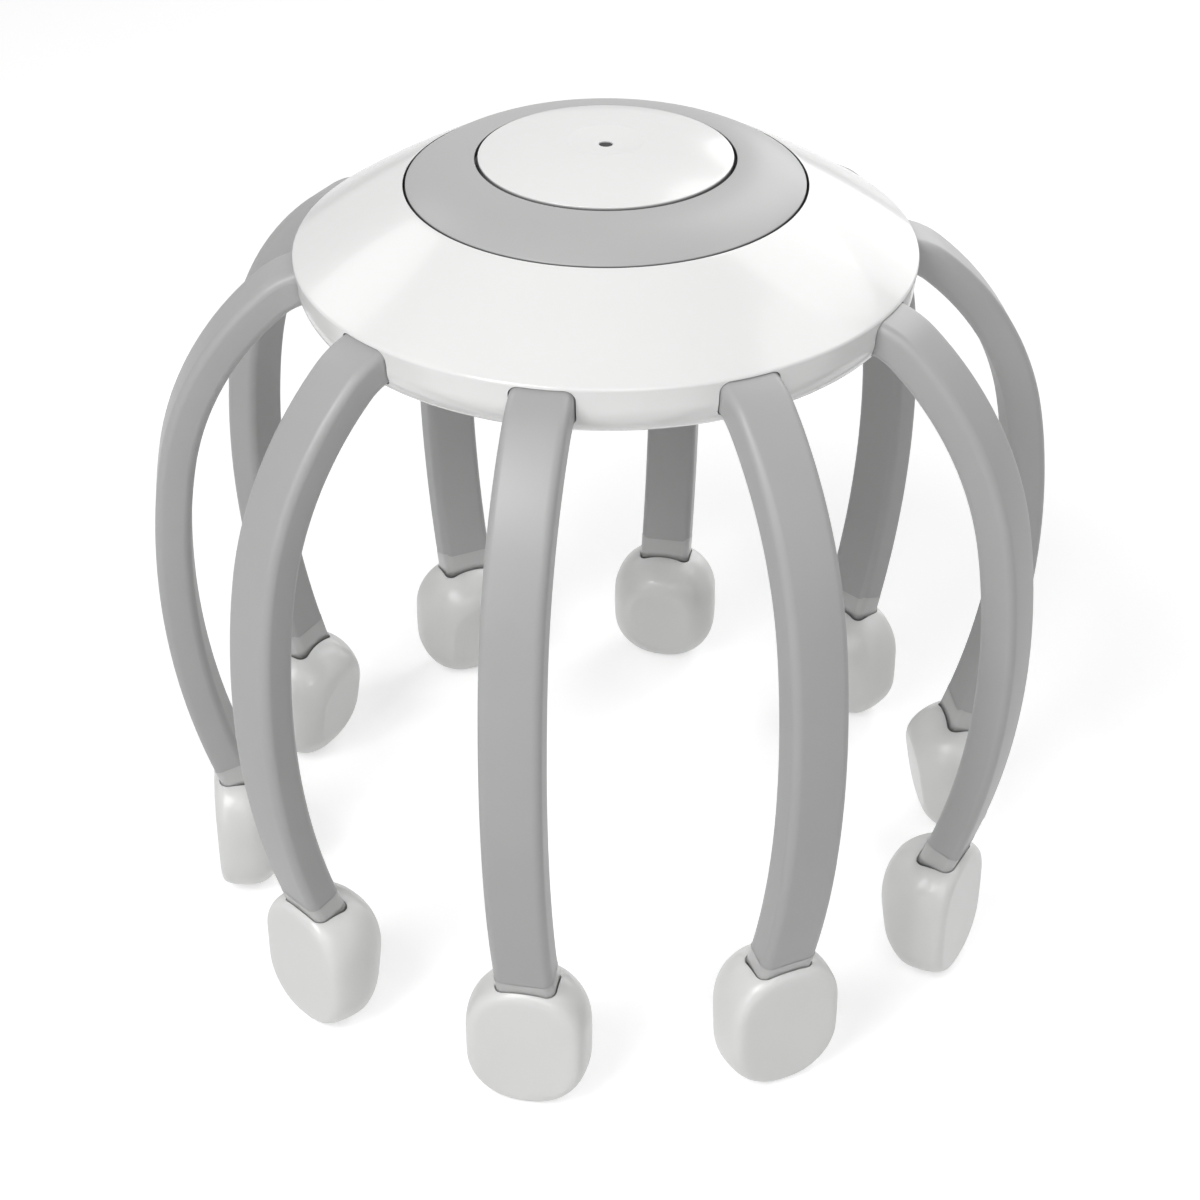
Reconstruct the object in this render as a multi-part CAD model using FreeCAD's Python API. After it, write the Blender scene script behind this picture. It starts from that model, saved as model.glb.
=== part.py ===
import math
import os

import FreeCAD
import Part

V = FreeCAD.Vector

# Overall sizes read from the photograph, all in millimetres
crease_radius = 60.0
arm_count = 10
arm_pitch = 360.0 / arm_count

# Clearances
running_fit = 0.08
button_gap = 0.40
slot_side_gap = 0.35
slot_end_gap = 0.45
seat_gap = 0.20

# Main shell, heights measured from the crease
ring_edge = (38.4, 12.3)
cap_edge = (24.75, 18.0)
dome_bow = (0.2, 0.3)
ring_bow = (0.225, 0.2)
inner_bow = (0.725, 1.15)
wall_straight = 3.4
wall_fillet = 7.9
shell_wall = 2.2
under_z = -(wall_straight + wall_fillet)
fillet_centre = crease_radius - wall_fillet
crease_round = 0.4
cover_rim = 9.5
cover_opening = crease_radius - cover_rim
lip_depth = 3.8
lip_under = cap_edge[1] - lip_depth
inner_start = -1.9
trim_thickness = 1.5

# Button cap
cap_radius = cap_edge[0] - button_gap
cap_rise = 3.2
cap_crown = cap_edge[1] + cap_rise
cap_sphere = 95.0
cap_wall = 1.8
flange_reach = 0.85
flange_gap = 0.6
flange_thickness = 1.2
cap_flange = cap_edge[0] + flange_reach
flange_top = lip_under - flange_gap
skirt_wall = 1.75
cap_skirt_bore = cap_radius - skirt_wall
dimple_radius = 7.35
dimple_depth = 0.8
light_hole = 1.35
button_travel = 0.8

# Bottom cover
cover_thickness = 2.0
floor_z = under_z + cover_thickness
cover_screw_inset = 6.5
cover_screw_radius = cover_opening - cover_screw_inset
cover_screw_angles = [54.0 + 72.0 * k for k in range(5)]
boss_height = 3.3
boss_top = floor_z + boss_height
counterbore_depth = 3.3
counterbore_top = under_z + counterbore_depth

# Arms: section, pivot and centreline in the radial plane
arm_width = 11.6
arm_thick = 7.2
arm_corner = 2.7
root_depth = 4.4
root_r = crease_radius - root_depth
root_top = -0.75
wall_point = (crease_radius - 1.0, -4.15)
root_heading = 18.0
root_lead = 0.9
arm_arcs = [(14.2, 39.2), (59.3, 77.9), (110.0, 82.3), (149.3, 110.2)]
tang_arc = (149.3, 113.9)
tang_width = 7.6
tang_thick = 4.0
tang_corner = 1.4
core_width = 5.0
core_thick = 0.9
pivot_depth = 2.8
pivot = (crease_radius - pivot_depth, -4.1)
trunnion_radius = 1.4
cheek_gap = 0.5
cheek_thickness = 1.7
cheek_inner = arm_width / 2 + cheek_gap
cheek_outer = cheek_inner + cheek_thickness
trunnion_reach = cheek_outer - 0.4

# Pads: outline sections as (outward, up, half width, half height, corner, lean)
pad_offset = (-1.19, -11.946)
ground_flat = 0.376
pad_sections = [
    (7.1, 0.0, 9.5, 12.0, 8.4, 0.0),
    (6.5, 0.0, 11.1, 13.6, 10.1, 0.0),
    (4.4, 0.0, 12.0, 14.4, 11.0, 0.0),
    (0.0, 0.0, 12.3, 14.7, 11.3, 0.0),
    (-3.9, -0.4, 11.1, 13.3, 10.1, 5.0),
    (-6.3, -0.65, 9.4, 11.3, 8.4, 8.0),
    (-7.75, -0.85, 7.0, 8.5, 6.0, 10.0),
]

# Keepers behind the arm roots, each holding two arms
keeper_z = (-4.7, -2.7)
keeper_r = (crease_radius - 12.4, crease_radius - 4.9)
keeper_half_angle = 26.0
keeper_screw_radius = crease_radius - 9.4
shelf_r = (crease_radius - 7.4, crease_radius - 4.2)

# Board, switch, light and spring
board_radius = 21.0
board_z = (8.0, 9.2)
board_post_radius = 17.0
board_post_angles = [30.0, 150.0, 270.0]
switch_x = 12.0
switch_side = 6.0
switch_top = 12.7
plunger_radius = 1.7
plunger_z = (12.0, 14.2)
plunger_spare = 0.3
led_height = 1.5
led_gap = 1.1
spring_mean_radius = 4.6
spring_wire = 0.7
spring_coils = 4.5

# Motor, battery and charging
motor_turn = -36.0
motor_y = -26.0
motor_radius = 5.1
motor_lift = 0.6
motor_z = floor_z + motor_lift + motor_radius
motor_x = (-13.0, 5.0)
shaft_radius = 0.75
weight_x = (7.5, 12.5)
weight_radius = 4.6
clip_x = (-12.0, -6.0)
clip_wall = 1.5
clip_foot_y = 8.7
battery_size = (30.0, 18.8, 6.6)
foam_thickness = 1.0
battery_y = 12.2
battery_z = floor_z + foam_thickness
charge_size = (16.0, 11.0, 1.0)
charge_y = crease_radius - 16.5
charge_z = floor_z + 1.9
socket_size = (9.0, 7.4, 3.2)
socket_y = crease_radius - 10.2
socket_z = charge_z + charge_size[2]
port_opening = (9.8, 4.0)


def polar(radius, angle, z=0.0):
    a = math.radians(angle)
    return V(radius * math.cos(a), radius * math.sin(a), z)


def rz(point):
    return V(point[0], 0, point[1])


def cylinder(radius, z0, z1, x=0.0, y=0.0):
    return Part.makeCylinder(radius, z1 - z0, V(x, y, z0))


def box(x, y, z, dx, dy, dz):
    return Part.makeBox(dx, dy, dz, V(x, y, z))


def spin(shape, angle):
    out = shape.copy()
    out.rotate(V(0, 0, 0), V(0, 0, 1), angle)
    return out


def revolve(edges):
    face = Part.Face(Part.Wire(edges))
    return face.revolve(V(0, 0, 0), V(0, 0, 1), 360)


def profile(*steps):
    """Closed edges in the radial plane: a plain point joins by a line,
    a pair (middle, end) joins by an arc through the middle."""
    edges = []
    last = steps[0]
    for step in steps[1:] + (steps[0],):
        if isinstance(step[0], tuple):
            middle, end = step
            edges.append(Part.Arc(rz(last), rz(middle), rz(end)).toShape())
        else:
            end = step
            edges.append(Part.makeLine(rz(last), rz(end)))
        last = end
    return edges


def rounded_outline(origin, across, up, half_w, half_h, corner):
    """Rounded rectangle drawn with four lines and four arcs."""
    edges = []
    quarter = math.pi / 2
    last = None
    first = None
    for k, (su, sv) in enumerate(((1, 1), (-1, 1), (-1, -1), (1, -1))):
        cu = su * (half_w - corner)
        cv = sv * (half_h - corner)
        arc = []
        for part in (0.0, 0.5, 1.0):
            a = quarter * (k + part)
            arc.append(origin + across * (cu + corner * math.cos(a)) + up * (cv + corner * math.sin(a)))
        if last is not None:
            edges.append(Part.makeLine(last, arc[0]))
        else:
            first = arc[0]
        edges.append(Part.Arc(*arc).toShape())
        last = arc[2]
    edges.append(Part.makeLine(last, first))
    return Part.Wire(edges)


def walk(point, heading, length):
    a = math.radians(heading)
    return (point[0] + length * math.cos(a), point[1] - length * math.sin(a))


def bend(point, heading, radius, new_heading):
    a = math.radians(heading)
    b = math.radians(new_heading)
    r = point[0] + radius * (math.sin(b) - math.sin(a))
    z = point[1] - radius * (math.cos(a) - math.cos(b))
    return (r, z)


def bend_edge(point, heading, radius, new_heading):
    middle = bend(point, heading, radius, (heading + new_heading) / 2)
    end = bend(point, heading, radius, new_heading)
    return Part.Arc(rz(point), rz(middle), rz(end)).toShape(), end


def root_start():
    back = (wall_point[0] - root_r) / math.cos(math.radians(root_heading))
    return walk(wall_point, root_heading, -back)


def arm_path():
    """Centreline of one arm: the root, then four tangent arcs."""
    start = root_start()
    end = walk(wall_point, root_heading, root_lead)
    edges = [Part.makeLine(rz(start), rz(end))]
    heading = root_heading
    for radius, new_heading in arm_arcs:
        edge, end = bend_edge(end, heading, radius, new_heading)
        edges.append(edge)
        heading = new_heading
    return edges, end, heading


def sweep(edges, point, heading, half_w, half_h, corner):
    a = math.radians(heading)
    rise = V(math.sin(a), 0, math.cos(a))
    outline = rounded_outline(rz(point), V(0, 1, 0), rise, half_w, half_h, corner)
    pipe = Part.BRepOffsetAPI.MakePipeShell(Part.Wire(edges))
    pipe.add(outline)
    pipe.build()
    pipe.makeSolid()
    return pipe.shape()


def make_arm():
    edges, end, heading = arm_path()
    start = root_start()
    limb = sweep(edges, start, root_heading, arm_width / 2, arm_thick / 2, arm_corner)
    above = box(root_r - 3, -arm_width, root_top, crease_radius + 1.2 - root_r + 3, 2 * arm_width, 6)
    inside = box(root_r - 8, -arm_width, -14, 8, 2 * arm_width, 20)
    limb = limb.cut(above).cut(inside)
    tang_edge, tang_end = bend_edge(end, heading, *tang_arc)
    tang = sweep([tang_edge], end, heading, tang_width / 2, tang_thick / 2, tang_corner)
    pin_end = V(pivot[0], -trunnion_reach, pivot[1])
    pin = Part.makeCylinder(trunnion_radius, 2 * trunnion_reach, pin_end, V(0, 1, 0))
    solid = limb.fuse(tang).fuse(pin).removeSplitter()
    core_edge, core_end = bend_edge(end, heading, tang_arc[0], tang_arc[1] - 0.8)
    core = sweep(edges + [core_edge], start, root_heading, core_width / 2, core_thick / 2, 0.3)
    core = core.cut(inside)
    return solid.cut(core), core, limb.fuse(tang)


def pad_middle():
    """Middle of the pad, set from the arm's end."""
    end = arm_path()[1]
    return (end[0] + pad_offset[0], end[1] + pad_offset[1])


def ground_depth():
    """Depth of the ground under the crease: the pad's lowest line, less its flat."""
    reaches = []
    for out, up, half_w, half_h, corner, lean in pad_sections:
        reaches.append(half_h * math.cos(math.radians(lean)) - up)
    return max(reaches) - pad_middle()[1] - ground_flat


def make_pad(insert):
    outlines = []
    centre = pad_middle()
    for out, up, half_w, half_h, corner, lean in pad_sections:
        a = math.radians(lean)
        origin = V(centre[0] + out, 0, centre[1] + up)
        rise = V(-math.sin(a), 0, math.cos(a))
        outlines.append(rounded_outline(origin, V(0, 1, 0), rise, half_w, half_h, corner))
    body = Part.makeLoft(outlines, True, False)
    ground = box(0, -crease_radius, -crease_height - 20, 2 * crease_radius, 2 * crease_radius, 20)
    return body.cut(ground).cut(insert)


def fillet_arc(radius, end):
    """Quarter round between the wall and the underside, as (middle, end)."""
    step = radius * math.cos(math.pi / 4)
    return ((fillet_centre + step, -wall_straight - step), end)


def between(first, second, bow):
    """Middle point of an arc: halfway, moved out by the bow."""
    return ((first[0] + second[0]) / 2 + bow[0], (first[1] + second[1]) / 2 + bow[1])


def dome_middle():
    return between((crease_radius, 0), ring_edge, dome_bow)


def ring_middle():
    return between(ring_edge, cap_edge, ring_bow)


def solid_bowl():
    """Everything inside the outer skin of the shell, drawn in a little."""
    skin = 0.7
    recess_z = ring_edge[1] - trim_thickness
    middle = dome_middle()
    edges = profile(
        (0, under_z + skin),
        (fillet_centre, under_z + skin),
        fillet_arc(wall_fillet - skin, (crease_radius - skin, -wall_straight)),
        (crease_radius - skin, -skin),
        ((middle[0] - 0.5 * skin, middle[1] - skin), (ring_edge[0], recess_z - skin)),
        (0, cap_edge[1]),
    )
    return revolve(edges)


def make_main_shell():
    inner = crease_radius - shell_wall
    small = wall_fillet - shell_wall
    recess = trim_thickness + seat_gap
    bow = ring_middle()
    lip = (cap_edge[0], lip_under)
    hollow = (inner, inner_start)
    edges = profile(
        (crease_radius, -crease_round),
        ((crease_radius - 0.07, -0.03), (crease_radius - 0.34, 0.20)),
        (dome_middle(), ring_edge),
        (ring_edge[0], ring_edge[1] - recess),
        ((bow[0], bow[1] - recess), (cap_edge[0], cap_edge[1] - recess)),
        lip,
        (between(lip, hollow, inner_bow), hollow),
        (inner, -wall_straight),
        fillet_arc(small, (fillet_centre, under_z + shell_wall)),
        (cover_opening, under_z + shell_wall),
        (cover_opening, under_z),
        (fillet_centre, under_z),
        fillet_arc(wall_fillet, (crease_radius, -wall_straight)),
    )
    shell = revolve(edges)
    inside = solid_bowl()
    cheeks = []
    for side in (1, -1):
        t0 = cheek_inner if side > 0 else -cheek_outer
        depth = cheek_thickness
        seat = box(shelf_r[1], t0, pivot[1] - 2.5, 3.2, depth, 12)
        shelf = box(shelf_r[0], t0, keeper_z[1], 6.2, depth, 10)
        cheeks.append(seat.fuse(shelf))
    cheek = cheeks[0].fuse(cheeks[1])
    ribs = [spin(cheek, k * arm_pitch) for k in range(arm_count)]
    for angle in cover_screw_angles:
        at = polar(cover_screw_radius, angle)
        ribs.append(cylinder(3.4, boss_top, 14, at.x, at.y))
        at = polar(keeper_screw_radius, angle)
        ribs.append(cylinder(2.5, keeper_z[1], 12, at.x, at.y))
    ribs = [rib.common(inside) for rib in ribs]
    shell = shell.multiFuse(ribs)
    half_w = arm_width / 2 + slot_side_gap
    half_h = arm_thick / 2 + slot_end_gap
    a = math.radians(root_heading)
    begin = walk(wall_point, root_heading, -8)
    rise = V(math.sin(a), 0, math.cos(a))
    outline = rounded_outline(rz(begin), V(0, 1, 0), rise, half_w, half_h, arm_corner + 0.3)
    slot = Part.Face(outline).extrude(V(math.cos(a), 0, -math.sin(a)) * 16)
    slot = slot.cut(box(begin[0] - 20, -arm_width, root_top + slot_end_gap, 40, 2 * arm_width, 10))
    grip = trunnion_radius + running_fit
    half = cheek_outer + 0.2
    seat = Part.makeCylinder(grip, 2 * half, V(pivot[0], -half, pivot[1]), V(0, 1, 0))
    entry = box(pivot[0] - 6, -half, pivot[1] - grip, 6, 2 * half, 2 * grip)
    opening = slot.fuse(seat).fuse(entry)
    cuts = [spin(opening, k * arm_pitch) for k in range(arm_count)]
    for angle in cover_screw_angles:
        at = polar(cover_screw_radius, angle)
        cuts.append(cylinder(1.28, boss_top - 1, 2.0, at.x, at.y))
        at = polar(keeper_screw_radius, angle)
        cuts.append(cylinder(1.03, keeper_z[1] - 1, 1.0, at.x, at.y))
    width, height = port_opening
    centre = V(0, crease_radius - 8, socket_z + socket_size[2] / 2)
    corner = height / 2 - 0.05
    port = rounded_outline(centre, V(1, 0, 0), V(0, 0, 1), width / 2, height / 2, corner)
    cuts.append(Part.Face(port).extrude(V(0, 12, 0)))
    return shell.cut(cuts[0].multiFuse(cuts[1:])).removeSplitter()


def make_trim_ring():
    gap = seat_gap
    outer = (ring_edge[0] - gap, ring_edge[1] + 0.1)
    inner = cap_edge
    bow = ring_middle()
    down = trim_thickness + 0.05
    return revolve(profile(
        outer,
        (bow, inner),
        (inner[0], inner[1] - down),
        ((bow[0], bow[1] - down), (outer[0], outer[1] - down)),
    ))


def cap_height(radius):
    return cap_crown - cap_sphere + math.sqrt(cap_sphere ** 2 - radius ** 2)


def make_button_cap():
    rim = (dimple_radius, cap_height(dimple_radius))
    bowl = ((dimple_radius ** 2 + dimple_depth ** 2) / (2 * dimple_depth))

    def dimple(radius):
        return rim[1] - dimple_depth + bowl - math.sqrt(bowl ** 2 - radius ** 2)

    def under(radius):
        return cap_height(radius) - cap_wall - dimple_depth

    flange_low = flange_top - flange_thickness
    half = (light_hole + dimple_radius) / 2
    shoulder = (dimple_radius + cap_radius) / 2
    inner_half = (light_hole + cap_skirt_bore) / 2
    cap = revolve(profile(
        (light_hole, dimple(light_hole)),
        ((half, dimple(half)), rim),
        ((shoulder, cap_height(shoulder)), (cap_radius, cap_height(cap_radius))),
        (cap_radius, flange_top),
        (cap_flange, flange_top),
        (cap_flange, flange_low),
        (cap_skirt_bore, flange_low),
        (cap_skirt_bore, under(cap_skirt_bore)),
        ((inner_half, under(inner_half)), (light_hole, under(light_hole))),
    ))
    collar = cylinder(3.6, 16.5, under(0) + 0.5).cut(cylinder(light_hole, 10, 30))
    post = cylinder(1.5, plunger_z[1], under(switch_x) + 0.6, switch_x)
    return cap.fuse(collar).fuse(post).removeSplitter()


def make_light_pipe():
    low = board_z[1] + led_height + led_gap + button_travel
    rod = cylinder(light_hole - 0.03, low, cap_height(0) - dimple_depth - 0.45)
    return rod.fuse(cylinder(2.4, 15.8, 16.5)).removeSplitter()


def make_spring():
    bottom = board_z[1] + spring_wire / 2 + 0.02
    top = cap_height(spring_mean_radius) - cap_wall - dimple_depth - spring_wire / 2 - 0.05
    height = top - bottom
    helix = Part.makeHelix(height / spring_coils, height, spring_mean_radius)
    helix.translate(V(0, 0, bottom))
    start = V(spring_mean_radius, 0, bottom)
    ring = Part.Wire(Part.Circle(start, V(0, 1, 0), spring_wire / 2).toShape())
    pipe = Part.BRepOffsetAPI.MakePipeShell(helix)
    pipe.setFrenetMode(True)
    pipe.add(ring)
    pipe.build()
    pipe.makeSolid()
    return pipe.shape()


def screw(x, y, seat, length, shank, head, head_height, up=True):
    """Pan head screw; up means the shank points upward from the seat."""
    sign = 1 if up else -1
    way = V(0, 0, sign)
    body = Part.makeCylinder(shank, length, V(x, y, seat), way)
    cap = Part.makeCylinder(head, head_height, V(x, y, seat), way * -1)
    solid = body.fuse(cap).removeSplitter()
    outer = seat - sign * head_height
    for dx, dy in ((head * 1.2, 0.7), (0.7, head * 1.2)):
        low = outer if up else outer - 0.6
        solid = solid.cut(box(x - dx / 2, y - dy / 2, low, dx, dy, 0.6))
    return solid


def make_bottom_cover():
    cover = cylinder(cover_opening - seat_gap, under_z, floor_z)
    adds = []
    for angle in cover_screw_angles:
        at = polar(cover_screw_radius, angle)
        adds.append(cylinder(4.0, floor_z, boss_top, at.x, at.y))
    for angle in board_post_angles:
        at = polar(board_post_radius, angle)
        adds.append(cylinder(2.5, floor_z, board_z[0], at.x, at.y))
    x0, x1 = motor_x
    can = Part.makeCylinder(motor_radius, x1 - x0, V(x0, motor_y, motor_z), V(1, 0, 0))
    for x in (x0 + 9.2, x1 - 2.8):
        saddle = box(x, motor_y - 5, floor_z, 1.6, 10, 3.0).cut(can)
        adds.append(spin(saddle, motor_turn))
    clip_mid = (clip_x[0] + clip_x[1]) / 2
    for side in (1, -1):
        foot_y = motor_y + side * clip_foot_y
        adds.append(spin(cylinder(2.4, floor_z, motor_z - 2.6, clip_mid, foot_y), motor_turn))
        fence = side * (battery_size[0] / 2 + 0.8)
        adds.append(box(fence - 0.6, battery_y + 4, floor_z, 1.2, 10, 4.5))
        adds.append(box(side * 5 - 1, charge_y + 0.5, floor_z, 2, 5, charge_z - floor_z))
    cover = cover.multiFuse(adds)
    cuts = []
    for angle in cover_screw_angles:
        at = polar(cover_screw_radius, angle)
        cuts.append(cylinder(2.6, under_z - 1, counterbore_top, at.x, at.y))
        cuts.append(cylinder(1.4, counterbore_top - 1, boss_top + 1, at.x, at.y))
    for angle in board_post_angles:
        at = polar(board_post_radius, angle)
        cuts.append(cylinder(1.03, 2.5, board_z[0] + 1, at.x, at.y))
    for side in (1, -1):
        pilot = cylinder(0.93, floor_z + 0.4, 0, clip_mid, motor_y + side * clip_foot_y)
        cuts.append(spin(pilot, motor_turn))
    return cover.cut(cuts[0].multiFuse(cuts[1:])).removeSplitter()


def make_keepers():
    """Five arc plates, each fixed by one screw."""
    low, high = keeper_z
    inner, outer = keeper_r
    sector = Part.makeCylinder(outer, high - low, V(0, 0, low), V(0, 0, 1), 2 * keeper_half_angle)
    sector = sector.cut(cylinder(inner, low - 1, high + 1))
    plates = []
    for angle in cover_screw_angles:
        at = polar(keeper_screw_radius, angle)
        plate = spin(sector, angle - keeper_half_angle)
        plates.append(plate.cut(cylinder(1.15, low - 1, high + 1, at.x, at.y)))
    return plates


def make_motor():
    x0, x1 = motor_x
    axis = V(1, 0, 0)
    can = Part.makeCylinder(motor_radius, x1 - x0, V(x0, motor_y, motor_z), axis)
    can = can.makeChamfer(0.5, [e for e in can.Edges if e.Curve.TypeId == "Part::GeomCircle"])
    can = can.fuse(Part.makeCylinder(2.2, 1.2, V(x1, motor_y, motor_z), axis))
    bore = Part.makeCylinder(shaft_radius + 0.06, 8, V(x1 - 5.5, motor_y, motor_z), axis)
    shaft_length = weight_x[1] + 0.5 - x1 + 5.2
    shaft = Part.makeCylinder(shaft_radius, shaft_length, V(x1 - 5.2, motor_y, motor_z), axis)
    length = weight_x[1] - weight_x[0]
    at = V(weight_x[0], motor_y, motor_z)
    half = Part.makeCylinder(weight_radius, length, at, axis)
    half = half.cut(box(weight_x[0] - 1, motor_y - 10, motor_z + 0.3, length + 2, 20, 10))
    hub = Part.makeCylinder(1.9, length, at, axis)
    weight = half.fuse(hub).cut(Part.makeCylinder(shaft_radius, length + 2, at - V(1, 0, 0), axis))
    pieces = (can.cut(bore).removeSplitter(), shaft, weight.removeSplitter())
    return [spin(piece, motor_turn) for piece in pieces]


def make_motor_clip():
    x0, x1 = clip_x
    width = x1 - x0
    foot = motor_z - 2.6
    outer = Part.makeCylinder(motor_radius + clip_wall, width, V(x0, motor_y, motor_z), V(1, 0, 0))
    outer = outer.cut(box(x0 - 1, motor_y - 20, motor_z - 20, width + 2, 40, 20))
    reach = motor_radius + clip_wall
    legs = box(x0, motor_y - reach, foot, width, 2 * reach, motor_z - foot)
    feet = box(x0, motor_y - clip_foot_y - 2.6, foot, width, 2 * clip_foot_y + 5.2, 1.3)
    hollow = Part.makeCylinder(motor_radius, width + 2, V(x0 - 1, motor_y, motor_z), V(1, 0, 0))
    gap = box(x0 - 1, motor_y - motor_radius, foot - 1, width + 2, 2 * motor_radius, motor_z - foot + 1)
    clip = outer.fuse(legs).fuse(feet).cut(hollow).cut(gap)
    for side in (1, -1):
        hole = cylinder(1.05, foot - 1, foot + 3, (x0 + x1) / 2, motor_y + side * clip_foot_y)
        clip = clip.cut(hole)
    return spin(clip.removeSplitter(), motor_turn)


def make_board():
    board = cylinder(board_radius, *board_z)
    for angle in board_post_angles:
        at = polar(board_post_radius, angle)
        board = board.cut(cylinder(1.15, board_z[0] - 1, board_z[1] + 1, at.x, at.y))
    return board


def make_switch():
    half = switch_side / 2
    body = box(switch_x - half, -half, board_z[1], switch_side, switch_side, switch_top - board_z[1])
    low = plunger_z[0] - button_travel - plunger_spare
    return body.cut(cylinder(plunger_radius + running_fit, low, switch_top + 1, switch_x))


def make_socket():
    dx, dy, dz = socket_size
    y = socket_y
    side = V(1, 0, 0)
    rise = V(0, 0, 1)
    middle = socket_z + dz / 2
    sheet = 0.3
    half_w = dx / 2 - sheet
    half_h = dz / 2 - sheet
    outline = rounded_outline(V(0, y, middle), side, rise, dx / 2, dz / 2, dz / 2 - 0.05)
    inner = rounded_outline(V(0, y + 1.2, middle), side, rise, half_w, half_h, half_h - 0.05)
    shell = Part.Face(outline).extrude(V(0, dy, 0)).cut(Part.Face(inner).extrude(V(0, dy, 0)))
    tongue = box(1.2 - dx / 2, y + 0.6, middle - 0.35, dx - 2.4, dy - 1.4, 0.7)
    return shell.fuse(tongue).removeSplitter()


def lead(start, middle, end, stops, radius=0.5):
    """Round wire along an arc, trimmed where it meets the pieces it is joined to."""
    arc = Part.Arc(V(*start), V(*middle), V(*end))
    edge = arc.toShape()
    way = edge.tangentAt(edge.FirstParameter)
    ring = Part.Wire(Part.Circle(V(*start), way, radius).toShape())
    pipe = Part.BRepOffsetAPI.MakePipeShell(Part.Wire([edge]))
    pipe.add(ring)
    pipe.build()
    pipe.makeSolid()
    wire = pipe.shape()
    for other in stops:
        wire = wire.cut(other)
    return wire


def make_battery():
    dx, dy, dz = battery_size
    battery = box(-dx / 2, battery_y, battery_z, dx, dy, dz)
    level = [e for e in battery.Edges if abs(e.tangentAt(e.FirstParameter).z) < 0.5]
    battery = battery.makeFillet(1.4, level)
    return battery, box(1 - dx / 2, battery_y + 1, floor_z, dx - 2, dy - 2, foam_thickness)


def save(name, *solids):
    shape = solids[0] if len(solids) == 1 else Part.makeCompound(list(solids))
    shape = shape.copy()
    shape.translate(V(0, 0, crease_height))
    shape.exportStep("parts/%s.step" % name)


crease_height = ground_depth()
os.makedirs("parts", exist_ok=True)

save("main_shell", make_main_shell())
save("trim_ring", make_trim_ring())
bottom_cover = make_bottom_cover()
save("bottom_cover", bottom_cover)
save("arm_keepers", *make_keepers())
save("button_cap", make_button_cap())
save("button_light_pipe", make_light_pipe())
save("switch_plunger", cylinder(plunger_radius, plunger_z[0], plunger_z[1], switch_x))
save("button_return_spring", make_spring())
circuit_board = make_board()
save("circuit_board", circuit_board)
save("tact_switch", make_switch())
save("status_led", box(-1.6, -1.0, board_z[1], 3.2, 2.0, led_height))

motor_can, motor_shaft, eccentric_weight = make_motor()
save("motor_can", motor_can)
save("motor_shaft", motor_shaft)
save("eccentric_weight", eccentric_weight)
save("motor_clip", make_motor_clip())

battery_cell, battery_foam = make_battery()
save("battery", battery_cell)
save("battery_pad", battery_foam)
charge_board = box(-charge_size[0] / 2, charge_y, charge_z, *charge_size)
save("charge_board", charge_board)
save("usb_socket", make_socket())

cover_screws = []
keeper_screws = []
for screw_angle in cover_screw_angles:
    spot = polar(cover_screw_radius, screw_angle)
    cover_screws.append(screw(spot.x, spot.y, counterbore_top, 9.0, 1.25, 2.3, 1.6))
    spot = polar(keeper_screw_radius, screw_angle)
    keeper_screws.append(screw(spot.x, spot.y, keeper_z[0], 5.0, 1.0, 1.8, 1.2))
save("cover_screws", *cover_screws)
save("keeper_screws", *keeper_screws)
board_screws = []
for post_angle in board_post_angles:
    spot = polar(board_post_radius, post_angle)
    board_screws.append(screw(spot.x, spot.y, board_z[1], 6.0, 1.0, 1.9, 1.3, up=False))
save("board_screws", *board_screws)
clip_seat = motor_z - 2.6 + 1.3
clip_centre = (clip_x[0] + clip_x[1]) / 2
clip_screws = []
for side in (1, -1):
    spot_y = motor_y + side * clip_foot_y
    clip_screw = screw(clip_centre, spot_y, clip_seat, 3.6, 0.9, 1.7, 1.1, up=False)
    clip_screws.append(spin(clip_screw, motor_turn))
save("clip_screws", *clip_screws)

top = board_z[0]
battery_stops = (battery_cell, circuit_board, bottom_cover)
charge_stops = (charge_board, circuit_board)
cell_side = -battery_size[0] / 2
cell_middle = battery_z + battery_size[2] / 2
battery_leads = []
for lead_y in (battery_y + 6.0, battery_y + 8.5):
    begin = (cell_side, lead_y, cell_middle)
    crown = (cell_side - 2.6, lead_y - 2.0, (cell_middle + top) / 2 + 0.6)
    finish = (cell_side + 5.5, lead_y - 6.0, top)
    battery_leads.append(lead(begin, crown, finish, battery_stops))
save("battery_leads", *battery_leads)
motor_leads = []
for lead_y in (motor_y - 1.3, motor_y + 1.3):
    begin = (motor_x[0], lead_y, motor_z)
    crown = (motor_x[0] - 3.4, lead_y + 4.0, (motor_z + top) / 2 + 0.8)
    finish = (motor_x[0] + 3.0, lead_y + 12.5, top)
    motor_leads.append(lead(begin, crown, finish, ()))
save("motor_leads", *[
    spin(wire, motor_turn).cut(motor_can).cut(circuit_board) for wire in motor_leads
])
charge_leads = []
for lead_x in (-3.0, 3.0):
    begin = (lead_x, charge_y + 1.0, charge_z + charge_size[2])
    crown = (lead_x, charge_y - 3.0, charge_z + 6.8)
    finish = (lead_x, 18.5, top)
    charge_leads.append(lead(begin, crown, finish, charge_stops))
save("charge_leads", *charge_leads)

arm, arm_core, pad_insert = make_arm()
pad = make_pad(pad_insert)
for number in range(arm_count):
    turn = number * arm_pitch
    label = "%02d" % (number + 1)
    save("arm_" + label, spin(arm, turn))
    save("arm_core_" + label, spin(arm_core, turn))
    save("arm_pad_" + label, spin(pad, turn))
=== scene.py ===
"""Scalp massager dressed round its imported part.

Each class builds one sub-assembly in millimetres, with heights measured from
the dome's crease, and hands over finished objects in metres.
"""
import sys
import logging
import math
from collections.abc import Iterator
from dataclasses import dataclass
from enum import Enum

import bmesh
import bpy
from mathutils import Matrix, Vector


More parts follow.
